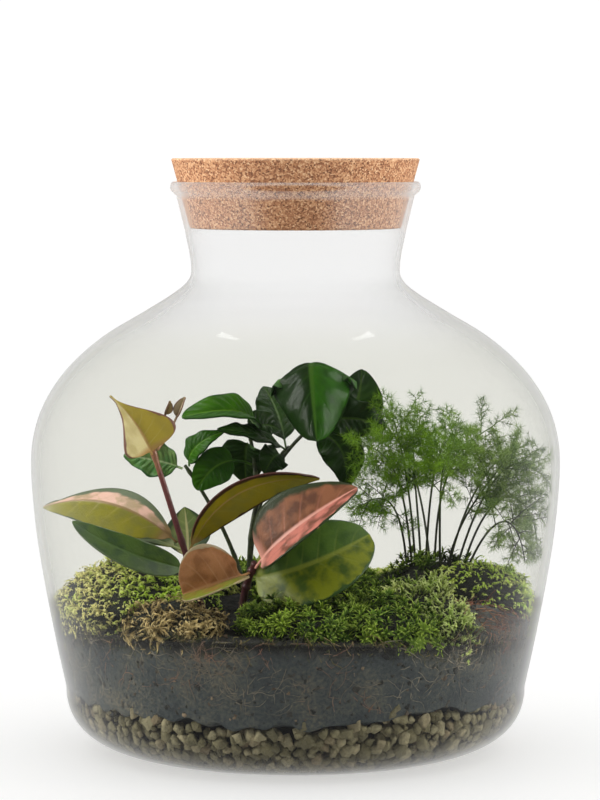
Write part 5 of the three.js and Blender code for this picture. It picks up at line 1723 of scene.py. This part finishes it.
# %% Grow a frond
def grow_frond(number, route):
    """Arrays of the wood and of the needles of one frond."""
    rng = np.random.default_rng(500 + number)
    shares = np.linspace(0, 1, 30)
    wood = [tube(bezier_points(route, shares), STALK_RADIUS * (1 - 0.62 * shares**1.5), 7)]
    spots, ways, sizes = [], [], []
    for k in range(SPRAYS + 1):
        share = BARE_SHARE + (0.99 - BARE_SHARE) * k / SPRAYS
        start = bezier_points(route, [share])[0]
        lean = 14 if k == SPRAYS else rng.uniform(48, 78)
        spray_length = 22 - 9 * k / SPRAYS + rng.normal(0, 1.5)
        way = leaning(bezier_tangent(route, share), k * GOLDEN_ANGLE + number, lean)
        end = start + way * spray_length
        if end[2] < moss_top_at(end[0], end[1]) + 4:
            continue
        bow = start + way * spray_length * 0.5 + np.array([0, 0, 1.6])
        path = bezier_points([start, bow, end - np.array([0, 0, 1.2])], np.linspace(0, 1, 8))
        wood.append(tube(path, np.linspace(0.26, 0.1, 8), 4))
        twigs = int(spray_length / 1.7)
        for j in range(twigs):
            at = 0.12 + 0.88 * (j + 0.5) / twigs
            foot = bezier_points([start, bow, end], [at])[0]
            reach = 6.2 * (1 - 0.45 * at) * rng.uniform(0.7, 1.2)
            twig_way = leaning(way, j * math.pi + rng.normal(0, 0.5) + k, rng.uniform(38, 66))
            tip = foot + twig_way * reach
            wood.append(tube([foot, (foot + tip) / 2 + (0, 0, 0.3), tip], [0.15, 0.12, 0.08], 3))
            for m in range(3):
                spots.append(foot + (tip - foot) * (m + 0.8) / 3)
                ways.append(twig_way + rng.normal(0, 0.2, 3))
                sizes.append(rng.uniform(0.65, 1.05) * (1 - 0.2 * at))
    spots, ways, sizes = np.array(spots), np.array(ways), np.array(sizes)
    count = len(spots)
    turns = frames_of(ways, rng.uniform(0, 6.3, count))
    tints = (0.5 + 0.5 * noise_at(spots, 16, 4) + 0.15 * rng.normal(size=count)).clip(0, 1)
    stamps = stamped(
        BUNCHES, rng.integers(0, len(BUNCHES), count), spots, turns, sizes[:, None] * np.ones((1, 3)), tints
    )
    return joined(wood), stamps


# %% Fern finishes
needle_green, tree, output = new_material("asparagus_fern_needles")
place = add(tree, "TexCoord")
where = add(tree, "SeparateXYZ", {0: place.outputs["Object"]})
shade = add(tree, "Attribute", attribute_name="tint")
lit = add(tree, "MapRange", span(where.outputs["X"], 62 * MM, 100 * MM))
fresh = add(tree, "Mix", {"Factor": shade.outputs["Fac"], 6: "#35600a", 7: "#86b01e"}, data_type="RGBA")
greyer = add(tree, "Mix", {"Factor": shade.outputs["Fac"], 6: "#44641c", 7: "#96b05c"}, data_type="RGBA")
needle_colour = add(tree, "Mix", {"Factor": lit, 6: fresh, 7: greyer}, data_type="RGBA")
coat(tree, output, needle_colour, 0.6, specular=0.2)

stalk_wood, tree, output = new_material("asparagus_fern_stalk")
place = add(tree, "TexCoord")
where = add(tree, "SeparateXYZ", {0: place.outputs["Object"]})
up = add(tree, "MapRange", span(where.outputs["Z"], 76 * MM, 150 * MM))
stalk_colour = add(
    tree,
    "ValToRGB",
    {"Fac": up},
    stops=[(0.0, "#1d1f14"), (0.45, "#2c3318"), (0.8, "#47601f"), (1.0, "#5c7a2a")],
)
coat(tree, output, stalk_colour, 0.55)

# %% Grow all fronds
for number, route in enumerate(FRONDS):
    name = f"asparagus_frond_{number + 1:02d}"
    wood, needles = grow_frond(number, route)
    stalk = arrays_object(name + "_wood", kept_inside(wood[0], 0.5), wood[1], smooth=True)
    stalk.data.materials.append(stalk_wood)
    finish_piece(stalk, "fern", name)
    spikes = arrays_object(name + "_needles", kept_inside(needles[0], 0.5), needles[1], tint=needles[2])
    spikes.data.materials.append(needle_green)
    finish_piece(spikes, "fern", name)

# %% Finish
print("the scene is built")
